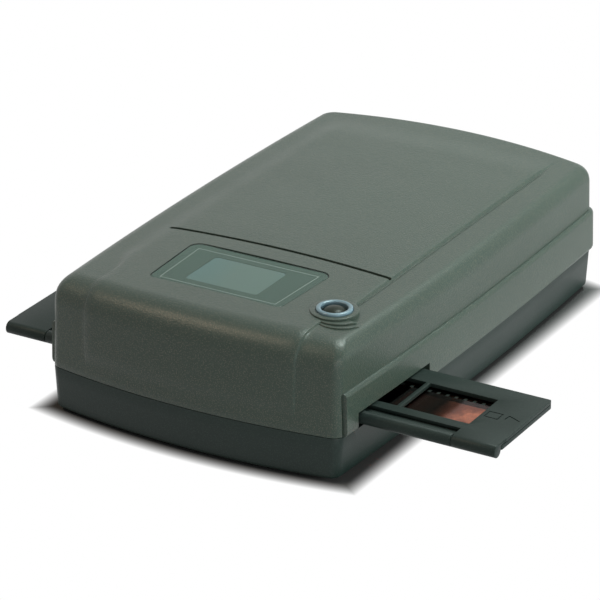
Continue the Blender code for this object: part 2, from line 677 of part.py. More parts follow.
class Loft:
    """A closed case form: a crowned cap, walls through the levels below it and a flat far end."""

    def __init__(self, levels, step=0.0):
        self.levels, self.step = levels, step

    def ring(self, level, column, row):
        """Place of a border point of the grid on one level."""
        reach, end = (level.front, FRONT_END) if row < 0 else (level.back, BACK_END)
        if abs(row) == END_ROW:
            spot = end_points(level, reach, end)[abs(column)]
        else:
            spot = side_points(level, reach, end)[abs(row)]
        x = math.copysign(spot.x, column)
        y = math.copysign(spot.y, row)
        z = level.z + level.crown * crown_at(x)
        if row == -END_ROW and abs(column) <= PLATEAU_COLUMN:
            proud = self.step * fade(level.z, PLATEAU_LOW_START, PLATEAU_LOW_END)
            y -= proud * math.cos(level.lean)
            z += proud * math.sin(level.lean)
        return Vector((x, y, z))

    def cap(self, column, row):
        """Place of any point of the grid on the first level."""
        level = self.levels[0]
        if abs(column) == SIDE_COLUMN or abs(row) == END_ROW:
            return self.ring(level, column, row)
        front, back = self.ring(level, column, -END_ROW), self.ring(level, column, END_ROW)
        corner_front = self.ring(level, SIDE_COLUMN, -END_ROW)
        corner_back = self.ring(level, SIDE_COLUMN, END_ROW)
        wall = self.ring(level, SIDE_COLUMN, row)
        share = (wall.y - corner_front.y) / (corner_back.y - corner_front.y)
        y = front.y + (back.y - front.y) * share
        edge = plateau_edge(y)
        if abs(column) <= PLATEAU_COLUMN:
            x = (edge - PLATEAU_RAMP / 2) * column / PLATEAU_COLUMN
            proud = self.step * (1 - fade(y, PLATEAU_FADE_START, PLATEAU_FADE_END))
        else:
            inner = edge + PLATEAU_RAMP / 2
            outset = [
                (abs(self.ring(level, column, end).x) - plateau_edge(end) - PLATEAU_RAMP / 2)
                / (self.ring(level, SIDE_COLUMN, end).x - plateau_edge(end) - PLATEAU_RAMP / 2)
                for end in (-END_ROW, END_ROW)
            ]
            across = outset[0] + (outset[1] - outset[0]) * share
            x = math.copysign(inner + (wall.x - inner) * across, column)
            proud = 0.0
        return Vector((x, y, level.z + level.crown * crown_at(x) + proud))

    def mesh(self):
        bm = bmesh.new()
        made = bmesh.ops.create_grid(bm, x_segments=2 * SIDE_COLUMN, y_segments=2 * END_ROW, size=1)
        place = {v: (round(v.co.x * SIDE_COLUMN), round(v.co.y * END_ROW)) for v in made["verts"]}
        border = [edge for edge in bm.edges if edge.is_boundary]
        for vertex, (column, row) in place.items():
            vertex.co = self.cap(column, row)
        for level in self.levels[1:]:
            grown = bmesh.ops.extrude_edge_only(bm, edges=border)["geom"]
            fresh = {item for item in grown if isinstance(item, bmesh.types.BMVert)}
            for vertex in fresh:
                old = next(other for other in (e.other_vert(vertex) for e in vertex.link_edges)
                           if other not in fresh)
                place[vertex] = place[old]
            for vertex in fresh:
                vertex.co = self.ring(level, *place[vertex])
            border = [item for item in grown
                      if isinstance(item, bmesh.types.BMEdge) and item.is_boundary
                      and item.verts[0] in fresh and item.verts[1] in fresh]
        bmesh.ops.contextual_create(bm, geom=border)
        return bm


def wall_at(z):
    """Outer walls of the upper case at a height, between the parting line and the top rounds."""
    share = (z - PARTING_HEIGHT) / (TOP_HEIGHT - PARTING_HEIGHT)
    return Level(
        z, CASE_HALF_WIDTH - WALL_DRAFT * share, FRONT_REACH - FRONT_DRAFT * share,
        CASE_HALF_DEPTH - FRONT_DRAFT * share,
    )


def upper_levels(inset, low):
    """Levels of the upper case from the top rounds down to low, all moved in by inset."""
    levels = []
    for step in range(ROUND_STEPS + 1):
        turn = math.pi / 2 * (1 - step / ROUND_STEPS)
        z = TOP_HEIGHT - FRONT_ROUND_HEIGHT * (1 - math.sin(turn))
        wall = wall_at(z)
        side_drop = min((TOP_HEIGHT - z) / SIDE_ROUND, 1.0)
        back_drop = min((TOP_HEIGHT - z) / BACK_ROUND, 1.0)
        wall.side -= SIDE_ROUND * (1 - math.sqrt(1 - (1 - side_drop) ** 2))
        wall.back -= BACK_ROUND * (1 - math.sqrt(1 - (1 - back_drop) ** 2))
        wall.front -= FRONT_ROUND_DEPTH * (1 - math.cos(turn))
        wall.crown = 1.0 - step / ROUND_STEPS * fade(step, 0, ROUND_STEPS)
        wall.lean = turn
        levels.append(wall)
    levels[0].corner = CORNER_ROUND - GAP
    levels.append(wall_at(BELT_HEIGHT + PARTING_HEIGHT))
    levels.append(wall_at(PLATEAU_LOW_END))
    levels.append(wall_at(PLATEAU_LOW_START))
    levels.append(wall_at(low))
    if not inset:
        return levels
    return [level.inset(inset, level.z - (LID_WALL if level.z > levels[-4].z else 0)) for level in levels]


def belt_levels():
    """Levels of the belt's outer face, with its round edges, down to just under the parting line."""
    top = PARTING_HEIGHT + BELT_HEIGHT
    heights = [(top - BELT_ROUND * down, BELT_PROUD * out) for down, out in BELT_TOP_SHARES]
    heights += [(PARTING_HEIGHT + BELT_ROUND * up, BELT_PROUD * out) for up, out in BELT_LOW_SHARES]
    heights.append((SEAM_LOW - OVERRUN, BELT_PROUD * BELT_END_SHARE))
    return [wall_at(z).inset(-proud, z) for z, proud in heights]


def screw_places():
    return [(x, y) for x in (-SCREW_X, SCREW_X) for y in (SCREW_FRONT_Y, SCREW_BACK_Y)]


def slot_cutter():
    return piece("slot_cutter", span_mesh(
        (-CASE_HALF_WIDTH - BELT_PROUD - OVERRUN, SLOT_FRONT, PARTING_HEIGHT - 2 * GAP),
        (CASE_HALF_WIDTH + BELT_PROUD + OVERRUN, SLOT_BACK, SLOT_TOP),
    ))


def build_upper_case(slot):
    case = piece("upper_case", Loft(upper_levels(0.0, SEAM_LOW - OVERRUN), PLATEAU_STEP).mesh(),
                 finish=("cover_grey", COVER_GREY))
    belt = piece("belt_form", Loft(belt_levels()).mesh())
    cut(belt, piece("belt_front_cutter", span_mesh(
        (-FRONT_REACH, -FRONT_REACH - OVERRUN * 2, -OVERRUN),
        (FRONT_REACH, BELT_FRONT_Y, TOP_HEIGHT),
    )))
    join(case, belt)
    for index, (radius, drop) in enumerate(TERRACES):
        height = BOSS_TOP - drop - (TOP_HEIGHT - LID_WALL)
        join(case, piece(f"button_terrace_{index}", rod_mesh(
            radius, height, (0, 0, height / 2), sides=40,
        ), at=(BUTTON_X, BUTTON_Y, TOP_HEIGHT - LID_WALL)))
    cut(case, piece("upper_cavity", Loft(upper_levels(UPPER_WALL, SEAM_LOW - OVERRUN * 2)).mesh()))
    for index, (x, y) in enumerate(screw_places()):
        low, high = BOSS_SEAM + GAP / 2, in_the_lid(x)
        join(case, piece(f"upper_boss_{index}", rod_mesh(
            BOSS_RADIUS, high - low, sides=16), at=(x, y, (low + high) / 2)))
        cut(case, piece(f"upper_screw_hole_{index}", rod_mesh(
            SCREW_RADIUS + GAP, SCREW_BITE * 2, sides=12), at=(x, y, low)))
    cut(case, piece("parting_cutter", span_mesh(
        (-FRONT_REACH, -FRONT_REACH * 2, -PARTING_HEIGHT), (FRONT_REACH, FRONT_REACH * 2, SEAM_HIGH),
    )))
    cut(case, slot)
    pocket_low = window_top() - POCKET_DEPTH - GAP
    cut(case, piece("window_pocket", window_mesh(GAP, LID_WALL * 2),
                    at=(WINDOW_X, WINDOW_Y, pocket_low + LID_WALL)))
    cut(case, piece("window_sight", plate_mesh(
        LCD_WIDTH + 2 * SIGHT_MARGIN, LCD_DEPTH + 2 * SIGHT_MARGIN, 2 * TOP_CUT, SIGHT_ROUND,
    ), at=(WINDOW_X, WINDOW_Y, pocket_low)))
    cut(case, piece("ring_seat_cutter", rod_mesh(
        RING_OUTER + GAP, RING_SEAT * 2, sides=40), at=(BUTTON_X, BUTTON_Y, BOSS_TOP)))
    cut(case, piece("button_hole_cutter", rod_mesh(
        CAP_FLANGE + RUN_GAP, 2 * TOP_CUT, sides=40), at=(BUTTON_X, BUTTON_Y, BOSS_TOP)))
    cut(case, piece("top_groove_cutter", groove_mesh(), at=(0, GROOVE_Y, 0)))
    return case


def groove_mesh():
    """A thin bar across the plateau that follows its crown and bows to the back in the middle."""
    half = PLATEAU_REAR_HALF - PLATEAU_RAMP
    bm = box_mesh(2 * half, GROOVE_WIDTH, GROOVE_DEPTH * 2)
    long_edges = [edge for edge in bm.edges if abs(edge.verts[0].co.x - edge.verts[1].co.x) > half]
    bmesh.ops.subdivide_edges(bm, edges=long_edges, cuts=2 * GROOVE_STEPS - 1, use_grid_fill=True)
    for vertex in bm.verts:
        vertex.co.y += GROOVE_BOW * (1 - (vertex.co.x / half) ** 2)
        vertex.co.z += TOP_HEIGHT + PLATEAU_STEP + crown_at(vertex.co.x)
    return bm


def window_mesh(grow, height):
    """The display window's plate, grown all round: a little wider at its back than at its front."""
    bm = plate_mesh(WINDOW_WIDTH + 2 * grow, WINDOW_DEPTH + 2 * grow, height, WINDOW_ROUND + grow)
    for vertex in bm.verts:
        vertex.co.x *= 1 + WINDOW_FLARE_SHARE * vertex.co.y / (WINDOW_DEPTH / 2)
    return bm


def window_top():
    """Height of the case's top at the display's corners, where the window lies flush."""
    reach = abs(WINDOW_X) + WINDOW_WIDTH / 2 * (1 + WINDOW_FLARE_SHARE)
    return TOP_HEIGHT + crown_at(reach) + PLATEAU_STEP


def base_at(z):
    """Outer walls of the lower case at a height: the sides are drawn in towards the floor."""
    share = 1 - z / PARTING_HEIGHT
    wall = wall_at(PARTING_HEIGHT)
    return Level(z, wall.side - BASE_TAPER * share, wall.front, wall.back)


def back_face(x):
    """Outer face of the lower case's back wall."""
    reach = base_at(PARTING_HEIGHT).back
    return reach - BACK_ARC + math.sqrt(BACK_ARC**2 - x**2)


def tray_levels():
    rounded = [base_at(BASE_EDGE * up).inset(BASE_EDGE * in_by) for up, in_by in BASE_EDGE_SHARES]
    return rounded + [base_at(SEAM_LOW)]


def board_posts():
    x = MAIN_BOARD_HALF_WIDTH - 2 * PILLAR_RADIUS
    front, back = MAIN_BOARD_FRONT + 2 * PILLAR_RADIUS, MAIN_BOARD_BACK - 2 * PILLAR_RADIUS
    return [(side * x, y) for side in (-1, 1) for y in (front, back)]


def foot_places():
    x = CASE_HALF_WIDTH - FOOT_SIDE_INSET
    front, back = FRONT_Y + FOOT_FRONT_SETBACK, CASE_HALF_DEPTH - FOOT_BACK_SETBACK
    return [(side * x, y) for side in (-1, 1) for y in (front, back)]


def build_lower_case(slot):
    case = piece("lower_case", Loft(tray_levels()).mesh(), finish=("base_grey", BASE_GREY))
    lip = [wall_at(z).inset(UPPER_WALL + GAP) for z in (SEAM_LOW - LIP_HEIGHT, SEAM_LOW + LIP_HEIGHT)]
    join(case, piece("lip_form", Loft(lip).mesh()))
    hollow = [base_at(BASE_FLOOR), base_at(SEAM_LOW), wall_at(SEAM_LOW + LIP_HEIGHT + OVERRUN)]
    cut(case, piece("lower_cavity", Loft([level.inset(BASE_WALL) for level in hollow]).mesh()))
    posts = [(spot, BOSS_RADIUS, BOSS_SEAM - GAP / 2) for spot in screw_places()]
    posts += [(spot, PILLAR_RADIUS, MAIN_BOARD_HEIGHT - GAP) for spot in board_posts()]
    for index, ((x, y), radius, top) in enumerate(posts):
        low = BASE_FLOOR / 2
        join(case, piece(f"floor_post_{index}", rod_mesh(radius, top - low, sides=16),
                         at=(x, y, (low + top) / 2)))
    wells, bores, pockets = bmesh.new(), bmesh.new(), bmesh.new()
    for x, y in screw_places():
        rod_mesh(SCREW_WELL_RADIUS, 2 * SCREW_SHELF, (x, y, 0), sides=16, bm=wells)
        rod_mesh(SCREW_RADIUS + GAP, 2 * BOSS_SEAM, (x, y, BOSS_SEAM), sides=12, bm=bores)
    for x, y in foot_places():
        rod_mesh(FOOT_RADIUS + GAP, 2 * FOOT_SEAT, (x, y, 0), sides=24, bm=pockets)
    vents = bmesh.new()
    for index in range(VENT_COUNT):
        y = MAIN_BOARD_BACK - VENT_SETBACK - VENT_PITCH * index
        box_mesh(VENT_LENGTH, VENT_WIDTH, 2 * (BASE_FLOOR + OVERRUN), (0, y, 0), bm=vents)
    cut(case, piece("floor_vents", vents), piece("screw_wells", wells), piece("screw_bores", bores), slot)
    for name, x, width, height in (("usb", USB_X, USB_WIDTH, USB_HEIGHT),
                                   ("jack", JACK_X, JACK_WIDTH, JACK_HEIGHT)):
        middle = (x, CASE_HALF_DEPTH, BOARD_TOP + GAP + height / 2)
        cut(case, piece(f"{name}_opening", box_mesh(
            width + 2 * GAP, 2 * WALL_CUT, height + 2 * GAP), at=middle))
    hole = piece("switch_opening", box_mesh(
        ROCKER_WIDTH + 2 * GAP, 2 * WALL_CUT, ROCKER_HEIGHT + 2 * GAP))
    hole.parent = SWITCH_ORIGIN
    cut(case, hole, piece("foot_pockets", pockets))
    return case


CORNERS = ("front_left", "back_left", "front_right", "back_right")


def build_feet():
    height = FOOT_PROUD + FOOT_SEAT - GAP
    pieces([f"foot_{corner}" for corner in CORNERS],
           [(x, y, height / 2 - FOOT_PROUD) for x, y in foot_places()],
           rod_mesh(FOOT_RADIUS, height, sides=24), ("rubber_black", RUBBER_BLACK))


def build_case_screws():
    tip = BOSS_SEAM + SCREW_BITE - GAP
    head_top = SCREW_SHELF - GAP
    head_low = head_top - SCREW_HEAD
    screw = turned_mesh((
        (0, tip), (SCREW_RADIUS, tip - SCREW_RADIUS), (SCREW_RADIUS, head_top),
        (SCREW_HEAD_RADIUS, head_top), (SCREW_HEAD_RADIUS, head_low), (0, head_low),
    ), sides=12)
    pieces([f"case_screw_{corner}" for corner in CORNERS], [(x, y, 0) for x, y in screw_places()],
           screw, ("steel", STEEL))


def build_display():
    top = window_top()
    piece("display_window", window_mesh(0, POCKET_DEPTH),
          at=(WINDOW_X, WINDOW_Y, top - POCKET_DEPTH / 2), finish=("window_grey", WINDOW_GREY))
    panel = piece("display_panel", plate_mesh(PANEL_WIDTH, PANEL_DEPTH, PANEL_THICKNESS, PANEL_ROUND),
                  at=(WINDOW_X, WINDOW_Y, PANEL_TOP - PANEL_THICKNESS / 2),
                  finish=("panel_grey", PANEL_GREY))
    low, high = PANEL_TOP - PANEL_THICKNESS / 2, top - POCKET_DEPTH - GAP
    join(panel, piece("display_glass", box_mesh(LCD_WIDTH, LCD_DEPTH, high - low),
                      at=(WINDOW_X, WINDOW_Y, (low + high) / 2)))


def build_button():
    ring_low = BOSS_TOP - RING_SEAT + GAP
    ring_top = BOSS_TOP + RING_PROUD
    lip = (RING_OUTER - RING_INNER) * RING_LIP_SHARE
    ring = turned_mesh((
        (RING_INNER, ring_top - lip), (RING_INNER + lip, ring_top), (RING_OUTER - lip, ring_top),
        (RING_OUTER, ring_top - lip), (RING_OUTER, ring_low), (RING_INNER, ring_low),
        (RING_INNER, ring_top - lip),
    ), sides=40)
    piece("button_ring", ring, at=(BUTTON_X, BUTTON_Y, 0), finish=("ring_silver", RING_SILVER))
    top = ring_top - CAP_UNDER_RING
    flange = ring_low - GAP
    reach, down = CAP_DISH_SHARES
    cap = turned_mesh((
        (0, top - CAP_DISH), (CAP_RADIUS * reach, top - CAP_DISH * down), (CAP_RADIUS - CAP_DISH, top),
        (CAP_RADIUS, top - CAP_DISH), (CAP_RADIUS, flange), (CAP_FLANGE, flange),
        (CAP_FLANGE, flange - CAP_FLANGE_THICKNESS), (STEM_RADIUS, flange - CAP_FLANGE_THICKNESS),
        (STEM_RADIUS, PLUNGER_TOP + GAP), (0, PLUNGER_TOP + GAP),
    ), sides=40)
    piece("scan_button", cap, at=(BUTTON_X, BUTTON_Y, 0), finish=("cap_dark", CAP_DARK))
    seat = FRONT_BOARD_TOP + GAP
    switch = piece("button_switch", box_mesh(SWITCH_SIDE, SWITCH_SIDE, SWITCH_HEIGHT),
                   at=(BUTTON_X, BUTTON_Y, seat + SWITCH_HEIGHT / 2), finish=("chip_black", CHIP_BLACK))
    low = PLUNGER_TOP - PLUNGER_LENGTH
    bore_deep = seat + SWITCH_HEIGHT - low + BUTTON_TRAVEL + RUN_GAP
    cut(switch, piece("plunger_bore", rod_mesh(PLUNGER_RADIUS + RUN_GAP, 2 * bore_deep, sides=16),
                      at=(BUTTON_X, BUTTON_Y, seat + SWITCH_HEIGHT)))
    piece("switch_plunger", rod_mesh(PLUNGER_RADIUS, PLUNGER_LENGTH, sides=16),
          at=(BUTTON_X, BUTTON_Y, low + PLUNGER_LENGTH / 2), finish=("nylon_white", NYLON_WHITE))


def front_board_span():
    half_depth = FRONT_BOARD_DEPTH / 2
    return ((WINDOW_X - FRONT_BOARD_LEFT_MARGIN, WINDOW_Y - half_depth),
            (BUTTON_X + FRONT_BOARD_RIGHT_MARGIN, WINDOW_Y + half_depth))


def pillar_places():
    (left, front), (right, back) = front_board_span()
    inset = PILLAR_RADIUS
    clear = BUTTON_X - CAP_FLANGE - 2 * PILLAR_RADIUS
    return [(left + inset, front + inset), (left + inset, back - inset),
            (right - inset, back - inset), (clear, front + inset)]


def build_front_board(upper):
    (left, front), (right, back) = front_board_span()
    piece("front_board", span_mesh((left, front, FRONT_BOARD_TOP - BOARD_THICKNESS),
                                   (right, back, FRONT_BOARD_TOP)), finish=("board_green", BOARD_GREEN))
    for index, (x, y) in enumerate(pillar_places()):
        low, high = FRONT_BOARD_TOP + GAP, in_the_lid(x)
        join(upper, piece(f"lid_pillar_{index}", rod_mesh(PILLAR_RADIUS, high - low, sides=14),
                          at=(x, y, (low + high) / 2)))


def frame_centres():
    first = HOLDER_X - FRAME_PITCH * (FRAME_COUNT - 1) / 2
    return [first + FRAME_PITCH * index for index in range(FRAME_COUNT)]


def windows_mesh(depth, y, z, height):
    bm = bmesh.new()
    for x in frame_centres():
        box_mesh(FRAME_LONG, depth, height, (x, y, z), bm=bm)
    return bm


def build_holder_tray():
    half = HOLDER_LENGTH / 2
    tray = piece("holder_tray", span_mesh(
        (HOLDER_X - half, RAIL_Y + RAIL_RADIUS + GAP, TRAY_LOW), (HOLDER_X + half, HOLDER_BACK, TRAY_TOP),
    ), finish=("holder_black", HOLDER_BLACK))
    rail_low, rail_high = TRAY_LOW + TRAY_THICKNESS / 4, TRAY_TOP - TRAY_THICKNESS / 4
    join(tray, piece("rail_web", span_mesh(
        (HOLDER_X - RAIL_HALF, RAIL_Y, rail_low), (HOLDER_X + RAIL_HALF, LID_FRONT, rail_high))))
    join(tray, piece("rail_form", rod_mesh(RAIL_RADIUS, 2 * RAIL_HALF, axis="X", sides=20),
                     at=(HOLDER_X, RAIL_Y, RAIL_Z)))
    channel_low = TRAY_TOP - FILM_CHANNEL_DEPTH
    channel_half = FRAME_PITCH * FRAME_COUNT / 2 + FILM_END_PLAY
    cut(tray, piece("film_channel", span_mesh(
        (HOLDER_X - channel_half, PICTURE_Y - FILM_WIDTH / 2 - GAP, channel_low),
        (HOLDER_X + channel_half, PICTURE_Y + FILM_WIDTH / 2 + GAP, TRAY_TOP + OVERRUN))))
    cut(tray, piece("tray_windows", windows_mesh(PICTURE_DEPTH, PICTURE_Y, TRAY_LOW, TRAY_THICKNESS * 4)))
    notches = bmesh.new()
    for x in frame_centres():
        box_mesh(NOTCH_WIDTH, 2 * NOTCH_DEPTH, 4 * TRAY_THICKNESS, (x, HOLDER_BACK, TRAY_LOW), bm=notches)
    cut(tray, piece("detent_notches", notches))
    cut(tray, pin_bores("tray_pin_bores"))


def pin_middles():
    return [HOLDER_X + side * (RAIL_HALF + GAP / 2) for side in (-1, 1)]


def pin_bores(name):
    bm = bmesh.new()
    for x in pin_middles():
        rod_mesh(HINGE_PIN_RADIUS + GAP, HINGE_PIN_LENGTH + 2 * GAP, (x, RAIL_Y, RAIL_Z), "X", 12, bm=bm)
    return piece(name, bm)


def build_holder_lid():
    half = HOLDER_LENGTH / 2
    low = HOLDER_TOP - LID_THICKNESS
    lid = piece("holder_lid", span_mesh(
        (HOLDER_X - half, LID_FRONT, low), (HOLDER_X + half, HOLDER_BACK, HOLDER_TOP),
    ), finish=("holder_black", HOLDER_BLACK))
    web_middle = HOLDER_TOP - LID_THICKNESS / 2
    web_half = LID_THICKNESS / 2 - KNUCKLE_STEP
    for index, side in enumerate((-1, 1)):
        near, far = RAIL_HALF + GAP, half - KNUCKLE_STEP
        middle = HOLDER_X + side * (near + far) / 2
        join(lid, piece(f"knuckle_{index}", rod_mesh(RAIL_RADIUS, far - near, axis="X", sides=20),
                        at=(middle, RAIL_Y, RAIL_Z)))
        web = (far - near) / 2 - KNUCKLE_STEP
        join(lid, piece(f"knuckle_web_{index}", span_mesh(
            (middle - web, RAIL_Y, web_middle - web_half),
            (middle + web, LID_FRONT + OVERRUN, web_middle + web_half))))
    opening_y = PICTURE_FRONT + LID_OPENING_DEPTH / 2
    cut(lid, piece("lid_windows", windows_mesh(LID_OPENING_DEPTH, opening_y, low, LID_THICKNESS * 4)))
    cut(lid, pin_bores("lid_pin_bores"))


def build_holder():
    build_holder_tray()
    build_holder_lid()
    pieces(("hinge_pin_left", "hinge_pin_right"), [(x, RAIL_Y, RAIL_Z) for x in pin_middles()],
           rod_mesh(HINGE_PIN_RADIUS, HINGE_PIN_LENGTH, axis="X", sides=12), ("steel", STEEL))
    film_low = TRAY_TOP - FILM_CHANNEL_DEPTH + GAP
    half = FRAME_PITCH * FRAME_COUNT / 2
    piece("film_strip", span_mesh(
        (HOLDER_X - half, PICTURE_Y - FILM_WIDTH / 2, film_low),
        (HOLDER_X + half, PICTURE_Y + FILM_WIDTH / 2, film_low + FILM_THICKNESS),
    ), finish=("film_orange", FILM_ORANGE))


def guide_walls():
    """Front and rear faces of the guide's two walls: outer front, inner front, inner rear, outer rear."""
    inner_front, inner_rear = HOLDER_FRONT - GUIDE_SIDE_PLAY, HOLDER_BACK + GUIDE_SIDE_PLAY
    return inner_front - GUIDE_WALL, inner_front, inner_rear, inner_rear + GUIDE_WALL


def build_film_guide():
    outer_front, inner_front, inner_rear, outer_rear = guide_walls()
    guide = piece("film_guide", span_mesh(
        (-GUIDE_HALF_LENGTH, outer_front, GUIDE_LOW), (GUIDE_HALF_LENGTH, outer_rear, GUIDE_WALL_TOP),
    ), finish=("guide_black", CHIP_BLACK))
    cut(guide, piece("guide_channel", span_mesh(
        (-GUIDE_HALF_LENGTH - OVERRUN, inner_front, GUIDE_DECK),
        (GUIDE_HALF_LENGTH + OVERRUN, inner_rear, GUIDE_WALL_TOP + OVERRUN))))
    ledge_top = TRAY_LOW - RUN_GAP
    join(guide, piece("rear_ledge", span_mesh(
        (-GUIDE_HALF_LENGTH, inner_rear - GUIDE_LEDGE_DEPTH, GUIDE_LOW + SHEET),
        (GUIDE_HALF_LENGTH, inner_rear + GUIDE_WALL / 2, ledge_top))))
    join(guide, piece("front_ledge", span_mesh(
        (-GUIDE_HALF_LENGTH, LIGHT_FRONT - GUIDE_LEDGE_DEPTH / 2, GUIDE_LOW + SHEET),
        (GUIDE_HALF_LENGTH, LIGHT_FRONT, ledge_top))))
    for index, side in enumerate((-1, 1)):
        x = side * GUIDE_LEG_X
        join(guide, piece(f"guide_leg_{index}", span_mesh(
            (x - GUIDE_WALL / 2, outer_front + GAP, BASE_FLOOR + GAP),
            (x + GUIDE_WALL / 2, outer_rear - GAP, GUIDE_LOW + SHEET))))
    cut(guide, piece("light_opening", span_mesh(
        (OPTICS_X - LIGHT_HALF_WIDTH, LIGHT_FRONT, GUIDE_LOW - OVERRUN),
        (OPTICS_X + LIGHT_HALF_WIDTH, LIGHT_BACK, GUIDE_WALL_TOP + OVERRUN))))
    cut(guide, piece("detent_window", span_mesh(
        (OPTICS_X - DETENT_HALF_LENGTH, inner_rear - GUIDE_WALL / 2, ledge_top + GAP),
        (OPTICS_X + DETENT_HALF_LENGTH, outer_rear + OVERRUN, ledge_top + 2 * GAP + DETENT_WIDTH + GAP))))


def build_detent_spring():
    inner_rear, outer_rear = guide_walls()[2:]
    back = outer_rear + GAP
    nose = HOLDER_BACK + GAP
    end = DETENT_HALF_LENGTH + DETENT_WIDTH
    path = ((-end, back), (-DETENT_HALF_LENGTH, back), (-NOTCH_WIDTH, nose + NOTCH_DEPTH), (0, nose),
            (NOTCH_WIDTH, nose + NOTCH_DEPTH), (DETENT_HALF_LENGTH, back), (end, back))
    low = TRAY_LOW - RUN_GAP + 2 * GAP
    bm = bmesh.new()
    spots = [bm.verts.new((OPTICS_X + x, y, low)) for x, y in path]
    edges = [bm.edges.new(pair) for pair in zip(spots, spots[1:])]
    grown = bmesh.ops.extrude_edge_only(bm, edges=edges)["geom"]
    fresh = [item for item in grown if isinstance(item, bmesh.types.BMVert)]
    bmesh.ops.translate(bm, vec=(0, 0, DETENT_WIDTH), verts=fresh)
    spring = piece("detent_spring", bm, finish=("steel", STEEL), smooth=False)
    sheet = spring.modifiers.new("sheet", "SOLIDIFY")
    sheet.thickness = DETENT_THICKNESS
    sheet.offset = leaf_side(spring)
    sheet.use_even_offset = True


def leaf_side(spring):
    """The Solidify side on which the leaf grows away from the holder."""
    return 1.0 if spring.data.polygons[0].normal.y > 0 else -1.0


def build_lamp():
    outer_front, _, _, outer_rear = guide_walls()
    low = GUIDE_WALL_TOP + GAP
    high = low + BRIDGE_HEIGHT
    left, right = OPTICS_X - BRIDGE_HALF_WIDTH, OPTICS_X + BRIDGE_HALF_WIDTH
    bridge = piece("lamp_housing", span_mesh((left, outer_front, low), (right, outer_rear, high)),
                   finish=("guide_black", CHIP_BLACK))
    edge = BRIDGE_WALL
    cut(bridge, piece("lamp_cavity", span_mesh(
        (left + edge, outer_front + edge, low - OVERRUN), (right - edge, outer_rear - edge, high - edge))))
    inset = edge + GAP
    piece("lamp_diffuser", span_mesh(
        (left + inset, outer_front + inset, low),
        (right - inset, outer_rear - inset, low + DIFFUSER_THICKNESS),
    ), finish=("diffuser_white", NYLON_WHITE))
    board_top = high - edge - GAP
    board = piece("lamp_board", span_mesh(
        (left + inset, outer_front + inset, board_top - LAMP_BOARD_THICKNESS),
        (right - inset, outer_rear - inset, board_top)), finish=("board_green", BOARD_GREEN))
    lamps = bmesh.new()
    middle = (outer_front + outer_rear) / 2
    under_board = board_top - LAMP_BOARD_THICKNESS
    for column in (-1, 0, 1):
        for row in (-1, 0, 1):
            spot = (OPTICS_X + column * LED_PITCH, middle + row * LED_PITCH, under_board)
            box_mesh(LED_SIDE, LED_SIDE, LED_SIDE / 2, spot, bm=lamps)
    join(board, piece("lamp_emitters", lamps))


def build_chassis():
    sheet_low = BASE_FLOOR + GAP
    chassis = piece("drive_chassis", span_mesh(
        (-CHASSIS_HALF_WIDTH - SHEET / 2, CHASSIS_FRONT, sheet_low),
        (CHASSIS_HALF_WIDTH + SHEET / 2, CHASSIS_BACK, CHASSIS_TOP)), finish=("steel", STEEL))
    cut(chassis, piece("chassis_lightening", plate_mesh(
        2 * LIGHTENING_HALF_WIDTH, LIGHTENING_BACK - LIGHTENING_FRONT, SHEET * 4, EAR_HALF_DEPTH),
        at=(0, (LIGHTENING_FRONT + LIGHTENING_BACK) / 2, sheet_low)))
    ears = bmesh.new()
    for side in (-1, 1):
        x = side * CHASSIS_HALF_WIDTH
        for front, back in ((ROD_FRONT_Y - EAR_HALF_DEPTH, ROD_FRONT_Y + EAR_HALF_DEPTH),
                            (ROD_BACK_Y - EAR_HALF_DEPTH, LEAD_Y + EAR_HALF_DEPTH)):
            span_mesh((x - SHEET / 2, front, sheet_low + SHEET / 3), (x + SHEET / 2, back, EAR_TOP), bm=ears)
    motor_front = LEAD_Y + LEAD_RADIUS + RUN_GAP + GAP
    span_mesh((MOTOR_FACE - GAP - SHEET, motor_front, sheet_low + SHEET / 3),
              (MOTOR_FACE - GAP, CHASSIS_BACK, ROD_HEIGHT + MOTOR_RADIUS), bm=ears)
    join(chassis, piece("chassis_ears", ears))
    holes = bmesh.new()
    reach = 2 * (CHASSIS_HALF_WIDTH + OVERRUN)
    for y in (ROD_FRONT_Y, ROD_BACK_Y):
        rod_mesh(ROD_RADIUS + GAP, reach, (0, y, ROD_HEIGHT), "X", 16, bm=holes)
    rod_mesh(LEAD_RADIUS + RUN_GAP, reach, (0, LEAD_Y, ROD_HEIGHT), "X", 16, bm=holes)
    rod_mesh(SHAFT_RADIUS + RUN_GAP, SHEET * 4, (MOTOR_FACE, MOTOR_Y, ROD_HEIGHT), "X", 12, bm=holes)
    cut(chassis, piece("chassis_holes", holes))


def build_rods():
    pieces(("front_guide_rod", "rear_guide_rod"),
           [(0, y, ROD_HEIGHT) for y in (ROD_FRONT_Y, ROD_BACK_Y)],
           rod_mesh(ROD_RADIUS, 2 * (CHASSIS_HALF_WIDTH + SHEET), axis="X", sides=16), ("steel", STEEL))


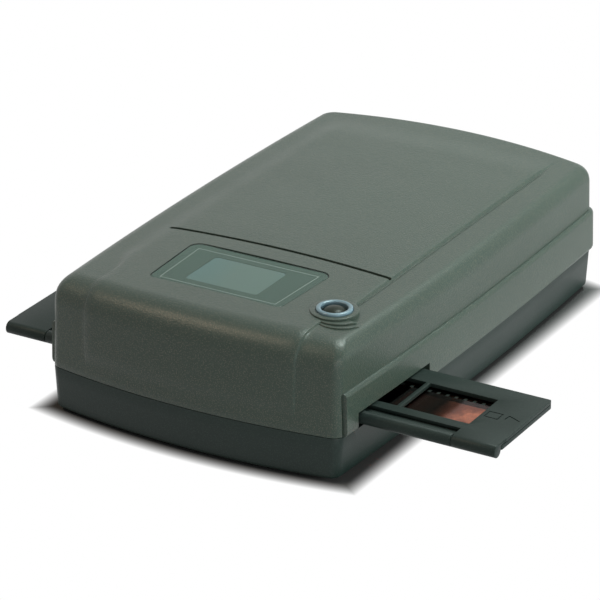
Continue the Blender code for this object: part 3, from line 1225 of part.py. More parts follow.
def gear_mesh(teeth, phase):
    """A solid spur gear round X with straight-sided teeth."""
    pitch = 2 * math.pi / teeth
    radius = GEAR_MODULE * teeth / 2
    root, tip = radius - GEAR_MODULE * ROOT_DEPTH_SHARE, radius + GEAR_MODULE * TIP_HEIGHT_SHARE
    bm = bmesh.new()
    outline = []
    for tooth in range(teeth):
        middle = phase + tooth * pitch
        for reach, turn in ((root, -TOOTH_ROOT_SHARE), (tip, -TOOTH_TIP_SHARE),
                            (tip, TOOTH_TIP_SHARE), (root, TOOTH_ROOT_SHARE)):
            angle = middle + turn * pitch / 2
            outline.append(bm.verts.new((-GEAR_FACE / 2, reach * math.cos(angle), reach * math.sin(angle))))
    face = bm.faces.new(outline)
    grown = bmesh.ops.extrude_face_region(bm, geom=[face])["geom"]
    fresh = [item for item in grown if isinstance(item, bmesh.types.BMVert)]
    bmesh.ops.translate(bm, vec=(GEAR_FACE, 0, 0), verts=fresh)
    return bm


def build_drive():
    lead_half = CHASSIS_HALF_WIDTH + 2 * SHEET
    piece("lead_screw", rod_mesh(LEAD_RADIUS, 2 * lead_half, axis="X", sides=16),
          at=(0, LEAD_Y, ROD_HEIGHT), finish=("steel", STEEL))
    gear = piece("screw_gear", gear_mesh(GEAR_TEETH, 0), at=(GEAR_X, LEAD_Y, ROD_HEIGHT),
                 finish=("nylon_white", NYLON_WHITE))
    cut(gear, piece("gear_bore", rod_mesh(LEAD_RADIUS + GAP, GEAR_FACE * 2, axis="X", sides=16),
                    at=(GEAR_X, LEAD_Y, ROD_HEIGHT)))
    pinion = piece("motor_pinion", gear_mesh(PINION_TEETH, math.pi / PINION_TEETH),
                   at=(GEAR_X, MOTOR_Y, ROD_HEIGHT), finish=("brass", BRASS))
    shaft_low, shaft_high = GEAR_X - GEAR_FACE, MOTOR_FACE + MOTOR_LENGTH / 2
    join(pinion, piece("motor_shaft", rod_mesh(SHAFT_RADIUS, shaft_high - shaft_low, axis="X", sides=12),
                       at=((shaft_low + shaft_high) / 2, MOTOR_Y, ROD_HEIGHT)))
    motor = piece("stepper_motor", rod_mesh(MOTOR_RADIUS, MOTOR_LENGTH, axis="X", sides=24),
                  at=(MOTOR_FACE + MOTOR_LENGTH / 2, MOTOR_Y, ROD_HEIGHT), finish=("steel", STEEL))
    cut(motor, piece("motor_bore", rod_mesh(SHAFT_RADIUS + RUN_GAP, MOTOR_LENGTH + 4 * RUN_GAP, axis="X",
                                            sides=12), at=(MOTOR_FACE, MOTOR_Y, ROD_HEIGHT)))
    nut = piece("drive_nut", span_mesh(
        (OPTICS_X - NUT_LENGTH / 2, CARRIAGE_BACK + GAP, ROD_HEIGHT - NUT_HALF),
        (OPTICS_X + NUT_LENGTH / 2, LEAD_Y + NUT_HALF, ROD_HEIGHT + NUT_HALF)),
        finish=("brass", BRASS))
    cut(nut, piece("nut_bore", rod_mesh(LEAD_RADIUS + RUN_GAP, NUT_LENGTH * 2, axis="X", sides=16),
                   at=(OPTICS_X, LEAD_Y, ROD_HEIGHT)))


def build_carriage():
    left, right = OPTICS_X - CARRIAGE_HALF_WIDTH, OPTICS_X + CARRIAGE_HALF_WIDTH
    carriage = piece("optics_carriage", span_mesh(
        (left, CARRIAGE_FRONT, CARRIAGE_LOW), (right, CARRIAGE_BACK, CARRIAGE_TOP)),
        finish=("guide_black", CHIP_BLACK))
    floor = CARRIAGE_LOW + CARRIAGE_WALL
    hollow_front = CARRIAGE_FRONT + CARRIAGE_END
    cut(carriage, piece("carriage_cavity", span_mesh(
        (left + CARRIAGE_WALL, hollow_front, floor),
        (right - CARRIAGE_WALL, CARRIAGE_BACK - CARRIAGE_END, CARRIAGE_TOP + OVERRUN))))
    wedge = bmesh.new()
    rise = CARRIAGE_TOP - floor - CARRIAGE_WALL / 2
    corners = ((hollow_front - GAP, floor - GAP), (hollow_front + rise, floor - GAP),
               (hollow_front + rise, floor), (hollow_front, floor + rise),
               (hollow_front - GAP, floor + rise))
    face = wedge.faces.new([wedge.verts.new((left + CARRIAGE_WALL / 2, y, z)) for y, z in corners])
    grown = bmesh.ops.extrude_face_region(wedge, geom=[face])["geom"]
    fresh = [item for item in grown if isinstance(item, bmesh.types.BMVert)]
    bmesh.ops.translate(wedge, vec=(2 * CARRIAGE_HALF_WIDTH - CARRIAGE_WALL, 0, 0), verts=fresh)
    join(carriage, piece("mirror_wedge", wedge))
    saddle = LENS_SADDLE / 2
    join(carriage, piece("lens_saddle", span_mesh(
        (OPTICS_X - LENS_RADIUS - CARRIAGE_WALL, LENS_Y - saddle, floor - GAP),
        (OPTICS_X + LENS_RADIUS + CARRIAGE_WALL, LENS_Y + saddle, ROD_HEIGHT))))
    cut(carriage, piece("lens_seat", rod_mesh(LENS_RADIUS + GAP, LENS_SADDLE * 2, axis="Y", sides=24),
                        at=(OPTICS_X, LENS_Y, LENS_Z)))
    bores = bmesh.new()
    for y in (ROD_FRONT_Y, ROD_BACK_Y):
        rod_mesh(ROD_RADIUS + RUN_GAP, 4 * CARRIAGE_HALF_WIDTH, (OPTICS_X, y, ROD_HEIGHT), "X", 16, bm=bores)
    cut(carriage, piece("carriage_bores", bores))
    lay_mirror(hollow_front, floor, rise)


def lay_mirror(front, floor, rise):
    """A flat glass on the wedge's slope, facing up and back."""
    mirror = piece("fold_mirror", box_mesh(2 * MIRROR_HALF_WIDTH, MIRROR_SLOPE, MIRROR_THICKNESS),
                   finish=("mirror_glass", GLASS_CLEAR))
    out = (MIRROR_THICKNESS / 2 + GAP) / math.sqrt(2)
    mirror.location = (OPTICS_X, front + rise / 2 + out, floor + rise / 2 + out)
    mirror.rotation_euler = (-math.pi / 4, 0, 0)


def build_optics():
    half = LENS_LENGTH / 2
    barrel = turned_mesh((
        (LENS_BORE, half), (LENS_RADIUS - LENS_STEP, half),
        (LENS_RADIUS - LENS_STEP, half - LENS_SADDLE / 2),
        (LENS_RADIUS, half - LENS_SADDLE / 2), (LENS_RADIUS, -half), (LENS_BORE, -half), (LENS_BORE, half),
    ), sides=24)
    lens = piece("lens_barrel", barrel, at=(OPTICS_X, LENS_Y, LENS_Z), finish=("guide_black", CHIP_BLACK))
    lens.rotation_euler = (-math.pi / 2, 0, 0)
    radius, rim, face = LENS_BORE - GAP, GLASS_THICKNESS / 4, GLASS_THICKNESS / 2
    bend = (face + rim) / 2
    glass = turned_mesh((
        (0, face), (radius * GLASS_BEND_SHARE, bend), (radius, rim),
        (radius, -rim), (radius * GLASS_BEND_SHARE, -bend), (0, -face),
    ), sides=20)
    lay_along_y(glass)
    set_in = half - GLASS_THICKNESS
    pieces(("lens_glass_front", "lens_glass_rear"),
           [(OPTICS_X, LENS_Y + end * set_in, LENS_Z) for end in (-1, 1)],
           glass, ("lens_glass", GLASS_CLEAR))
    low = CARRIAGE_LOW + CARRIAGE_WALL + GAP
    sensor = piece("sensor_board", span_mesh(
        (OPTICS_X - SENSOR_HALF_WIDTH, SENSOR_Y, low),
        (OPTICS_X + SENSOR_HALF_WIDTH, SENSOR_Y + BOARD_THICKNESS, CARRIAGE_TOP)),
        finish=("board_green", BOARD_GREEN))
    join(sensor, piece("sensor_chip", box_mesh(SENSOR_CHIP_WIDTH, SENSOR_CHIP_DEPTH, SENSOR_CHIP_HEIGHT),
                       at=(OPTICS_X, SENSOR_Y, LENS_Z)))


def build_main_board():
    piece("main_board", span_mesh(
        (-MAIN_BOARD_HALF_WIDTH, MAIN_BOARD_FRONT, MAIN_BOARD_HEIGHT),
        (MAIN_BOARD_HALF_WIDTH, MAIN_BOARD_BACK, BOARD_TOP)), finish=("board_green", BOARD_GREEN))
    middle = (MAIN_BOARD_FRONT + MAIN_BOARD_BACK) / 2
    on_board = BOARD_TOP + GAP
    pieces(("processor_chip", "memory_chip", "interface_chip"),
           [(MAIN_BOARD_HALF_WIDTH * share, middle - CHIP_SIDE / 2, on_board + CHIP_HEIGHT / 2)
            for share in CHIP_SHARES],
           box_mesh(CHIP_SIDE, CHIP_SIDE, CHIP_HEIGHT), ("chip_black", CHIP_BLACK))
    pieces(("input_capacitor", "lamp_capacitor", "motor_capacitor"),
           [(MAIN_BOARD_HALF_WIDTH * CAPACITOR_SHARE, middle + index * CAPACITOR_PITCH,
             on_board + CAPACITOR_HEIGHT / 2) for index in (-2, -1, 0)],
           rod_mesh(CAPACITOR_RADIUS, CAPACITOR_HEIGHT, sides=16), ("steel", STEEL))


def socket_block(name, x, width, height, finish):
    face = back_face(abs(x) + width / 2) - SOCKET_INSET
    low = BOARD_TOP + GAP
    made = piece(name, span_mesh(
        (x - width / 2, face - SOCKET_DEPTH, low), (x + width / 2, face, low + height)), finish=finish)
    return made, face, low + height / 2


def build_sockets():
    usb, face, middle = socket_block("usb_socket", USB_X, USB_WIDTH, USB_HEIGHT, ("steel", STEEL))
    cut(usb, piece("usb_mouth", box_mesh(USB_MOUTH_WIDTH, 2 * MOUTH_DEPTH, USB_MOUTH_HEIGHT),
                   at=(USB_X, face, middle)))
    join(usb, piece("usb_tongue", span_mesh(
        (USB_X - USB_TONGUE_WIDTH / 2, face - MOUTH_DEPTH - OVERRUN, middle - USB_TONGUE_HEIGHT / 2),
        (USB_X + USB_TONGUE_WIDTH / 2, face - USB_TONGUE_INSET, middle + USB_TONGUE_HEIGHT / 2))))
    jack, face, middle = socket_block("power_socket", JACK_X, JACK_WIDTH, JACK_HEIGHT,
                                      ("chip_black", CHIP_BLACK))
    cut(jack, piece("jack_mouth", rod_mesh(JACK_MOUTH_RADIUS, 2 * MOUTH_DEPTH, axis="Y", sides=20),
                    at=(JACK_X, face, middle)))
    pin_length = MOUTH_DEPTH + JACK_PIN_RADIUS
    join(jack, piece("jack_pin", rod_mesh(JACK_PIN_RADIUS, pin_length, axis="Y", sides=10),
                     at=(JACK_X, face - JACK_PIN_RADIUS - pin_length / 2, middle)))


def switch_origin():
    """The empty on the rocker's axis, turned square to the bowed back wall."""
    origin = bpy.data.objects.new("switch_origin", None)
    origin.parent = ORIGIN
    origin.location = (ROCKER_X, back_face(ROCKER_X), ROCKER_Z)
    origin.rotation_euler = (0, 0, -math.asin(ROCKER_X / BACK_ARC))
    SCANNER.objects.link(origin)
    return origin


def build_power_switch():
    flange = plate_mesh(ROCKER_WIDTH + 2 * ROCKER_RIM, ROCKER_HEIGHT + 2 * ROCKER_RIM, ROCKER_RIM,
                        ROCKER_RIM)
    lay_along_y(flange)
    bmesh.ops.translate(flange, vec=(0, FLANGE_SEAT + ROCKER_RIM / 2, 0), verts=flange.verts[:])
    housing = piece("switch_housing", flange, finish=("chip_black", CHIP_BLACK))
    body = piece("switch_body", span_mesh(
        (-ROCKER_WIDTH / 2, -SWITCH_DEPTH, -ROCKER_HEIGHT / 2),
        (ROCKER_WIDTH / 2, FLANGE_SEAT + ROCKER_RIM / 2, ROCKER_HEIGHT / 2)))
    join(housing, body)
    well = piece("rocker_well", span_mesh(
        (-ROCKER_WIDTH / 2 + ROCKER_RIM, -ROCKER_DEEP - RUN_GAP, -ROCKER_HEIGHT / 2 + ROCKER_RIM),
        (ROCKER_WIDTH / 2 - ROCKER_RIM, SWITCH_DEPTH, ROCKER_HEIGHT / 2 - ROCKER_RIM)))
    cut(housing, well)
    half = ROCKER_WIDTH / 2 - ROCKER_RIM - ROCKER_PLAY
    height = ROCKER_HEIGHT - 2 * ROCKER_RIM - 2 * RUN_GAP
    outline = [(half * out, ROCKER_RISE * up + ROCKER_DEEP * down) for out, up, down in ROCKER_SHARES]
    bm = bmesh.new()
    face = bm.faces.new([bm.verts.new((x, y, -height / 2)) for x, y in outline])
    grown = bmesh.ops.extrude_face_region(bm, geom=[face])["geom"]
    fresh = [item for item in grown if isinstance(item, bmesh.types.BMVert)]
    bmesh.ops.translate(bm, vec=(0, 0, height), verts=fresh)
    rocker = piece("power_rocker", bm, finish=("cap_dark", CAP_DARK), smooth=False)
    rocker.rotation_euler = (0, 0, ROCKER_TILT)
    for made in (housing, body, well, rocker):
        made.parent = SWITCH_ORIGIN


SWITCH_ORIGIN = switch_origin()
SLOT = slot_cutter()
UPPER = build_upper_case(SLOT)
build_lower_case(SLOT)
build_feet()
build_case_screws()
build_display()
build_button()
build_front_board(UPPER)
build_holder()
build_film_guide()
build_detent_spring()
build_lamp()
build_chassis()
build_rods()
build_drive()
build_carriage()
build_optics()
build_main_board()
build_sockets()
build_power_switch()
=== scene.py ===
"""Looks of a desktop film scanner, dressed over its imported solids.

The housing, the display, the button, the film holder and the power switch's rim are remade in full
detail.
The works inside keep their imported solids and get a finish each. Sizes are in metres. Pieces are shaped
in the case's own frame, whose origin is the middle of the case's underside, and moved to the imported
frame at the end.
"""

import functools
import logging
import math
from dataclasses import dataclass, field
from enum import Enum

import bmesh
import bpy
from bmesh.types import BMEdge, BMVert
from mathutils import Matrix, Vector


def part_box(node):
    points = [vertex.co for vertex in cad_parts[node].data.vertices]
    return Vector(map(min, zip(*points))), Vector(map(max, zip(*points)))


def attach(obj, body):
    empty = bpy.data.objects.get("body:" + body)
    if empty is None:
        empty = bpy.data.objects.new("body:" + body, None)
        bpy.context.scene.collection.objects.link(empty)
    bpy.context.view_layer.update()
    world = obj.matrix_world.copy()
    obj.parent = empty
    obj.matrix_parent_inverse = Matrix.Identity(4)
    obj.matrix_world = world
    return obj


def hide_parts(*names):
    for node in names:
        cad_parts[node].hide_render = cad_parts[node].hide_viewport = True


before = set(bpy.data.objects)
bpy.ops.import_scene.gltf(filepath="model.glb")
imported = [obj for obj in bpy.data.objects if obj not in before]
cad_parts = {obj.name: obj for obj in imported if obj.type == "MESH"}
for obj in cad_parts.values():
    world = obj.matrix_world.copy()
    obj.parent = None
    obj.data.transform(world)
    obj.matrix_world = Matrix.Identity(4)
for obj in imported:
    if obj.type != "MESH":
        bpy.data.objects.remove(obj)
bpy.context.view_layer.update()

LOG = logging.getLogger("film_scanner")
HAIR = 0.0003  # fitting gap between two pieces
OVERRUN = 0.002  # distance that a cutter reaches past what it cuts
SAME = 1e-7  # places closer than this are the same

Colour = tuple[float, float, float]
Place = tuple[float, float, float]
Spot = tuple[float, float]
Shape = bmesh.types.BMesh
Socket = bpy.types.NodeSocket


# Finishes


def tinted(colour: Colour, by: float) -> Colour:
    """The colour with each part multiplied by a number."""
    return tuple(part * by for part in colour)


class Recipe:
    """Wires the nodes of one procedural material, whose patterns lie on object coordinates."""

    def __init__(self, name: str) -> None:
        """Starts a material with its main shader.

        Args:
            name: Name of the material.
        """
        self.material = bpy.data.materials.new(name)
        self.material.use_nodes = True
        self.nodes = self.material.node_tree.nodes
        self.links = self.material.node_tree.links
        self.shader = self.nodes["Principled BSDF"]
        self.coords = self.nodes.new("ShaderNodeTexCoord").outputs["Object"]

    def settle(self, numbers: dict[str, float]) -> None:
        """Sets sockets of the main shader that are the same all over.

        Args:
            numbers: Value of each socket by its name.
        """
        for socket, value in numbers.items():
            self.shader.inputs[socket].default_value = value

    def feed(self, socket: str, source: Socket) -> None:
        """Links a pattern to a socket of the main shader."""
        self.links.new(source, self.shader.inputs[socket])

    def noise(self, scale: float, detail: float = 2.0, stretch: Place = (1, 1, 1)) -> Socket:
        """Cloudy pattern.

        Args:
            scale: Features to the metre.
            detail: Finer layers in the pattern.
            stretch: Scale along each axis.

        Returns:
            The socket with the pattern's value.
        """
        made, mapping = self.nodes.new("ShaderNodeTexNoise"), self.nodes.new("ShaderNodeMapping")
        made.inputs["Scale"].default_value = scale
        made.inputs["Detail"].default_value = detail
        mapping.inputs["Scale"].default_value = stretch
        self.links.new(self.coords, mapping.inputs["Vector"])
        self.links.new(mapping.outputs["Vector"], made.inputs["Vector"])
        return made.outputs["Fac"]

    def cells(self, scale: float) -> Socket:
        """Pattern of distances to scattered points.

        Args:
            scale: Points to the metre.

        Returns:
            The socket with the distance.
        """
        made = self.nodes.new("ShaderNodeTexVoronoi")
        made.inputs["Scale"].default_value = scale
        self.links.new(self.coords, made.inputs["Vector"])
        return made.outputs["Distance"]

    def waves(self, scale: float, axis: str, distortion: float = 0.0) -> Socket:
        """Parallel bands across an axis.

        Args:
            scale: Rate of the bands.
            axis: Axis that the bands lie across: X, Y or Z.
            distortion: How far the bands wander.

        Returns:
            The socket with the pattern's value.
        """
        made = self.nodes.new("ShaderNodeTexWave")
        made.bands_direction = axis
        made.inputs["Scale"].default_value = scale
        made.inputs["Distortion"].default_value = distortion
        self.links.new(self.coords, made.inputs["Vector"])
        return made.outputs["Fac"]

    def spread(self, source: Socket, before: Spot, after: Spot = (0.0, 1.0)) -> Socket:
        """Maps one range of a pattern to another and holds it there.

        Args:
            source: Pattern to map.
            before: Lowest and highest value read.
            after: Values given for them.

        Returns:
            The socket with the mapped pattern.
        """
        made = self.nodes.new("ShaderNodeMapRange")
        for socket, value in zip(("From Min", "From Max", "To Min", "To Max"), (*before, *after)):
            made.inputs[socket].default_value = value
        self.links.new(source, made.inputs["Value"])
        return made.outputs["Result"]

    def work_out(self, kind: str, first: Socket, second: float | Socket = 0.0) -> Socket:
        """Works out one value from one or two others.

        Args:
            kind: Operation of the math node.
            first: Value or pattern to work on.
            second: Number or pattern to work with.

        Returns:
            The socket with the result.
        """
        made = self.nodes.new("ShaderNodeMath")
        made.operation = kind
        self.links.new(first, made.inputs[0])
        if isinstance(second, float):
            made.inputs[1].default_value = second
        else:
            self.links.new(second, made.inputs[1])
        return made.outputs["Value"]

    def blend(self, share: Socket, first: Colour | Socket, second: Colour | Socket) -> Socket:
        """Mixes two colours by a pattern.

        Args:
            share: Share of the second colour.
            first: Colour or pattern where the share is 0.
            second: Colour or pattern where the share is 1.

        Returns:
            The socket with the mixed colour.
        """
        made = self.nodes.new("ShaderNodeMix")
        made.data_type = "RGBA"
        self.links.new(share, made.inputs["Factor"])
        for socket, value in ((made.inputs["A"], first), (made.inputs["B"], second)):
            if isinstance(value, tuple):
                socket.default_value = (*value, 1.0)
            else:
                self.links.new(value, socket)
        return made.outputs["Result"]

    def relief(self, height: Socket, depth: float, strength: float = 1.0) -> None:
        """Gives the surface a fine relief.

        Args:
            height: Pattern of the relief.
            depth: Depth of the relief.
            strength: Share of the relief that shows.
        """
        made = self.nodes.new("ShaderNodeBump")
        made.inputs["Strength"].default_value = strength
        made.inputs["Distance"].default_value = depth
        self.links.new(height, made.inputs["Height"])
        self.feed("Normal", made.outputs["Normal"])


@dataclass(frozen=True)
class GrainedPlastic:
    """Moulded or sprayed plastic with flecks, cloudy tone and a fine grain in its surface."""

    name: str
    colour: Colour
    fleck: Colour
    roughness: float = 0.42
    gloss: float = 0.5
    grain: float = 1400.0
    depth: float = 0.00004

    def build(self) -> bpy.types.Material:
        """Wires the plastic."""
        recipe = Recipe(self.name)
        flecks = recipe.spread(recipe.cells(self.grain), (0.12, 0.42), (1.0, 0.0))
        cloud = recipe.spread(recipe.noise(14, 3.0), (0.35, 0.65))
        plain = recipe.blend(cloud, tinted(self.colour, 0.93), self.colour)
        recipe.feed("Base Color", recipe.blend(flecks, plain, self.fleck))
        span = self.roughness - 0.02, self.roughness + 0.02
        recipe.feed("Roughness", recipe.spread(recipe.noise(45, 4.0), (0.3, 0.7), span))
        recipe.relief(recipe.noise(self.grain * 0.8, 3.0), self.depth)
        recipe.settle({"Specular IOR Level": self.gloss})
        return recipe.material


@dataclass(frozen=True)
class ClearPane:
    """Tinted clear plastic or glass with faint smears."""

    name: str
    colour: Colour
    roughness: float = 0.03
    ior: float = 1.49

    def build(self) -> bpy.types.Material:
        """Wires the pane."""
        recipe = Recipe(self.name)
        smear, span = recipe.noise(60, 3.0, (1.0, 0.3, 1.0)), (self.roughness, self.roughness + 0.06)
        recipe.feed("Roughness", recipe.spread(smear, (0.45, 0.75), span))
        dust = recipe.spread(recipe.noise(25, 2.0), (0.4, 0.7))
        recipe.feed("Base Color", recipe.blend(dust, self.colour, tinted(self.colour, 0.97)))
        recipe.settle({"Transmission Weight": 1.0, "IOR": self.ior})
        return recipe.material


@dataclass(frozen=True)
class SmokedPane:
    """Thin smoked plastic that shows what lies right under it, with faint smears."""

    name: str
    colour: Colour
    cover: float = 0.26
    ior: float = 1.5

    def build(self) -> bpy.types.Material:
        """Wires the pane."""
        recipe = Recipe(self.name)
        smear = recipe.spread(recipe.noise(60, 3.0, (1.0, 0.3, 1.0)), (0.45, 0.75))
        recipe.feed("Roughness", recipe.spread(smear, (0.0, 1.0), (0.14, 0.20)))
        recipe.feed("Base Color", recipe.blend(smear, self.colour, tinted(self.colour, 1.4)))
        recipe.settle({"Alpha": self.cover, "IOR": self.ior})
        return recipe.material


@dataclass(frozen=True)
class DisplayFace:
    """Unlit display under its polariser: one tone that drifts across, with a faint grid of cells."""

    name: str
    colour: Colour
    drift: Colour
    pitch: float = 0.0004

    def build(self) -> bpy.types.Material:
        """Wires the display's face."""
        recipe = Recipe(self.name)
        drift = recipe.spread(recipe.noise(28, 0.0, (1.0, 0.5, 1.0)), (0.35, 0.65))
        tone = recipe.blend(drift, self.colour, self.drift)
        grid = recipe.spread(recipe.waves(0.05 / self.pitch * 6.28, "X"), (0.0, 1.0), (0.0, 0.06))
        recipe.feed("Base Color", recipe.blend(grid, tone, tinted(self.colour, 0.7)))
        recipe.settle({"Roughness": 0.32, "Specular IOR Level": 0.05})
        return recipe.material


@dataclass(frozen=True)
class DrawnMetal:
    """Metal with fine drawn or brushed lines along one axis."""

    name: str
    colour: Colour
    roughness: float = 0.3
    lines: Place = (0.03, 1.0, 1.0)
    metallic: float = 1.0
    coat: float = 0.0

    def build(self) -> bpy.types.Material:
        """Wires the metal."""
        recipe = Recipe(self.name)
        lines = recipe.noise(2600, 4.0, self.lines)
        stain = recipe.spread(recipe.noise(30, 3.0), (0.35, 0.7))
        recipe.feed("Base Color", recipe.blend(stain, self.colour, tinted(self.colour, 0.82)))
        span = self.roughness * 0.8, self.roughness * 1.25
        recipe.feed("Roughness", recipe.spread(lines, (0.3, 0.7), span))
        recipe.relief(lines, 0.00001, 0.5)
        recipe.settle({"Metallic": self.metallic, "Coat Weight": self.coat, "Coat Roughness": 0.08})
        return recipe.material


@dataclass(frozen=True)
class NegativeFilm:
    """Developed colour negative: an orange base, a darker cloudy picture in each frame, and painted shade
    over every second frame.
    """

    name: str
    base: Colour
    # Colour of the picture and of the painted shade over every second frame.
    density_and_painted_shade: Colour
    fog: Colour
    pitch: float = 0.0380

    def build(self) -> bpy.types.Material:
        """Wires the film: each frame darker at its left, and every second one darkened all over, painted
        shade.
        """
        recipe = Recipe(self.name)
        split = recipe.nodes.new("ShaderNodeSeparateXYZ")
        recipe.links.new(recipe.coords, split.inputs["Vector"])
        count = recipe.work_out("DIVIDE", split.outputs["X"], self.pitch)
        along = recipe.work_out("FRACT", count)
        # Every second frame is darkened all over: painted shade. Each frame is also darker at its left.
        turn = recipe.work_out("PINGPONG", recipe.work_out("FLOOR", count), 1.0)
        shade = recipe.work_out("ADD", recipe.spread(along, (0.36, 0.44), (0.85, 0.0)), turn)
        clouds = recipe.spread(recipe.noise(110, 4.0, (1.0, 0.7, 1.0)), (0.40, 0.60), (0.0, 0.75))
        gap = recipe.spread(recipe.work_out("PINGPONG", count, 0.5), (0.022, 0.030))
        thick = recipe.work_out("MAXIMUM", recipe.work_out("MINIMUM", shade, 1.0), clouds)
        dark = recipe.work_out("MULTIPLY", thick, gap)
        mottle = recipe.spread(recipe.noise(420, 3.0), (0.45, 0.70), (0.0, 0.5))
        clear = recipe.blend(mottle, self.base, self.fog)
        recipe.feed("Base Color", recipe.blend(dark, clear, self.density_and_painted_shade))
        recipe.relief(recipe.noise(18, 1.0), 0.0003, 0.2)
        recipe.settle({"Roughness": 0.06, "Transmission Weight": 1.0, "IOR": 1.2})
        return recipe.material


@dataclass(frozen=True)
class CircuitBoard:
    """Solder mask over copper: traces as raised bands in two directions and scattered pads."""

    name: str
    mask: Colour = (0.010, 0.075, 0.030)
    trace: Colour = (0.030, 0.160, 0.060)
    pad: Colour = (0.62, 0.58, 0.45)

    def build(self) -> bpy.types.Material:
        """Wires the board."""
        recipe = Recipe(self.name)
        along = recipe.spread(recipe.waves(120, "X", 1.5), (0.55, 0.65))
        across = recipe.spread(recipe.waves(90, "Y", 2.0), (0.6, 0.7), (0.0, 0.8))
        traces = recipe.blend(across, recipe.blend(along, self.mask, self.trace), self.trace)
        pads = recipe.spread(recipe.cells(320), (0.10, 0.16), (1.0, 0.0))
        recipe.feed("Base Color", recipe.blend(pads, traces, self.pad))
        recipe.feed("Roughness", recipe.spread(along, (0.0, 1.0), (0.32, 0.42)))
        recipe.relief(along, 0.00004, 0.6)
        recipe.settle({"Coat Weight": 0.3, "Coat Roughness": 0.15})
        return recipe.material


@dataclass(frozen=True)
class Lacquer:
    """Printed ink or a dull coating with a faint mottle."""

    name: str
    colour: Colour
    roughness: float = 0.5
    gloss: float = 0.3

    def build(self) -> bpy.types.Material:
        """Wires the coating."""
        recipe = Recipe(self.name)
        mottle = recipe.spread(recipe.noise(600, 2.0), (0.3, 0.7))
        recipe.feed("Base Color", recipe.blend(mottle, self.colour, tinted(self.colour, 0.94)))
        span = self.roughness, self.roughness + 0.08
        recipe.feed("Roughness", recipe.spread(mottle, (0.0, 1.0), span))
        recipe.settle({"Specular IOR Level": self.gloss})
        return recipe.material


Finish = (GrainedPlastic | ClearPane | SmokedPane | DisplayFace | DrawnMetal | NegativeFilm
          | CircuitBoard | Lacquer)


class Finishes(Enum):
    """Finishes of the scanner, each with the record's slot that it stands for."""

    COVER = ("cover_grey", GrainedPlastic(
        "cover_coat", (0.030, 0.046, 0.037), (0.086, 0.088, 0.068), roughness=0.34, gloss=0.28,
        grain=1500.0, depth=0.00016))
    BASE = ("base_grey", GrainedPlastic(
        "base_coat", (0.007, 0.0155, 0.013), (0.018, 0.029, 0.025), roughness=0.38, gloss=0.24))
    WINDOW = ("window_grey", SmokedPane("window_pane", (0.010, 0.022, 0.017)))
    BEZEL = ("window_grey", Lacquer("window_print", (0.105, 0.180, 0.150), 0.5, 0.1))
    FRAME_LINE = ("window_grey", Lacquer("frame_line_print", (0.52, 0.62, 0.58), 0.5))
    # Near-black sheet in the gap round the display's pane: painted shade of that gap.
    GAP_SHADE = ("window_grey", Lacquer("window_gap_painted_shade", (0.006, 0.009, 0.008), 0.4, 0.1))
    DISPLAY = ("panel_grey", DisplayFace(
        "display_face", (0.195, 0.345, 0.345), (0.230, 0.345, 0.315)))
    MODULE = ("panel_grey", GrainedPlastic("panel_body", (0.030, 0.036, 0.035), (0.05, 0.05, 0.05)))
    RING = ("ring_silver", DrawnMetal(
        "ring_plating", (0.105, 0.170, 0.205), 0.34, (1.0, 1.0, 0.1), metallic=0.1, coat=0.1))
    CAP = ("cap_dark", GrainedPlastic(
        "cap_gloss", (0.016, 0.021, 0.017), (0.024, 0.027, 0.020), 0.30, 0.1, depth=0.00001))
    HOLDER = ("holder_black", GrainedPlastic(
        "holder_plastic", (0.012, 0.019, 0.017), (0.021, 0.029, 0.026), 0.44, 0.12, depth=0.00003))
    FILM = ("film_orange", NegativeFilm(
        "negative_film", (0.38, 0.130, 0.072), (0.085, 0.024, 0.016), (0.21, 0.085, 0.055)))
    RUBBER = ("rubber_black", GrainedPlastic(
        "foot_rubber", (0.018, 0.018, 0.019), (0.030, 0.030, 0.030), 0.75, 0.25, depth=0.00008))
    STEEL = ("steel", DrawnMetal("drawn_steel", (0.60, 0.61, 0.62), 0.28))
    BRASS = ("brass", DrawnMetal("turned_brass", (0.78, 0.56, 0.24), 0.24))
    BOARD = ("board_green", CircuitBoard("circuit_board"))
    CHIP = ("chip_black", GrainedPlastic(
        "chip_mould", (0.020, 0.020, 0.021), (0.045, 0.045, 0.045), 0.5))
    GUIDE = ("guide_black", GrainedPlastic(
        "guide_plastic", (0.022, 0.024, 0.024), (0.035, 0.037, 0.037)))
    NYLON = ("nylon_white", GrainedPlastic("nylon", (0.74, 0.73, 0.68), (0.80, 0.79, 0.75), 0.45))
    DIFFUSER = ("diffuser_white", GrainedPlastic(
        "opal_sheet", (0.84, 0.85, 0.84), (0.88, 0.88, 0.88), 0.35))
    LENS = ("lens_glass", ClearPane("lens_glass_clear", (0.86, 0.94, 0.93), 0.01, 1.6))
    MIRROR = ("mirror_glass", DrawnMetal("mirror_silver", (0.86, 0.88, 0.88), 0.05))

    @property
    def slot(self) -> str:
        """The record's material slot."""
        return self.value[0]

    @property
    def material(self) -> bpy.types.Material:
        """The finish as a material, made once."""
        return made_material(self.value[1])


@functools.cache
def made_material(finish: Finish) -> bpy.types.Material:
    """Builds a finish the first time that it is asked for."""
    return finish.build()


# Shaping


class Join(Enum):
    """Ways to put two closed shapes together."""

    ADD = "UNION"
    CUT = "DIFFERENCE"


def as_object(name: str, shape: Shape) -> bpy.types.Object:
    """Makes a shape an object of the scene. The shape is used up.

    Args:
        name: Name of the object and its mesh.
        shape: Shape to turn into a mesh.

    Returns:
        The object.
    """
    mesh = bpy.data.meshes.new(name)
    shape.to_mesh(mesh)
    shape.free()
    thing = bpy.data.objects.new(name, mesh)
    bpy.context.scene.collection.objects.link(thing)
    return thing


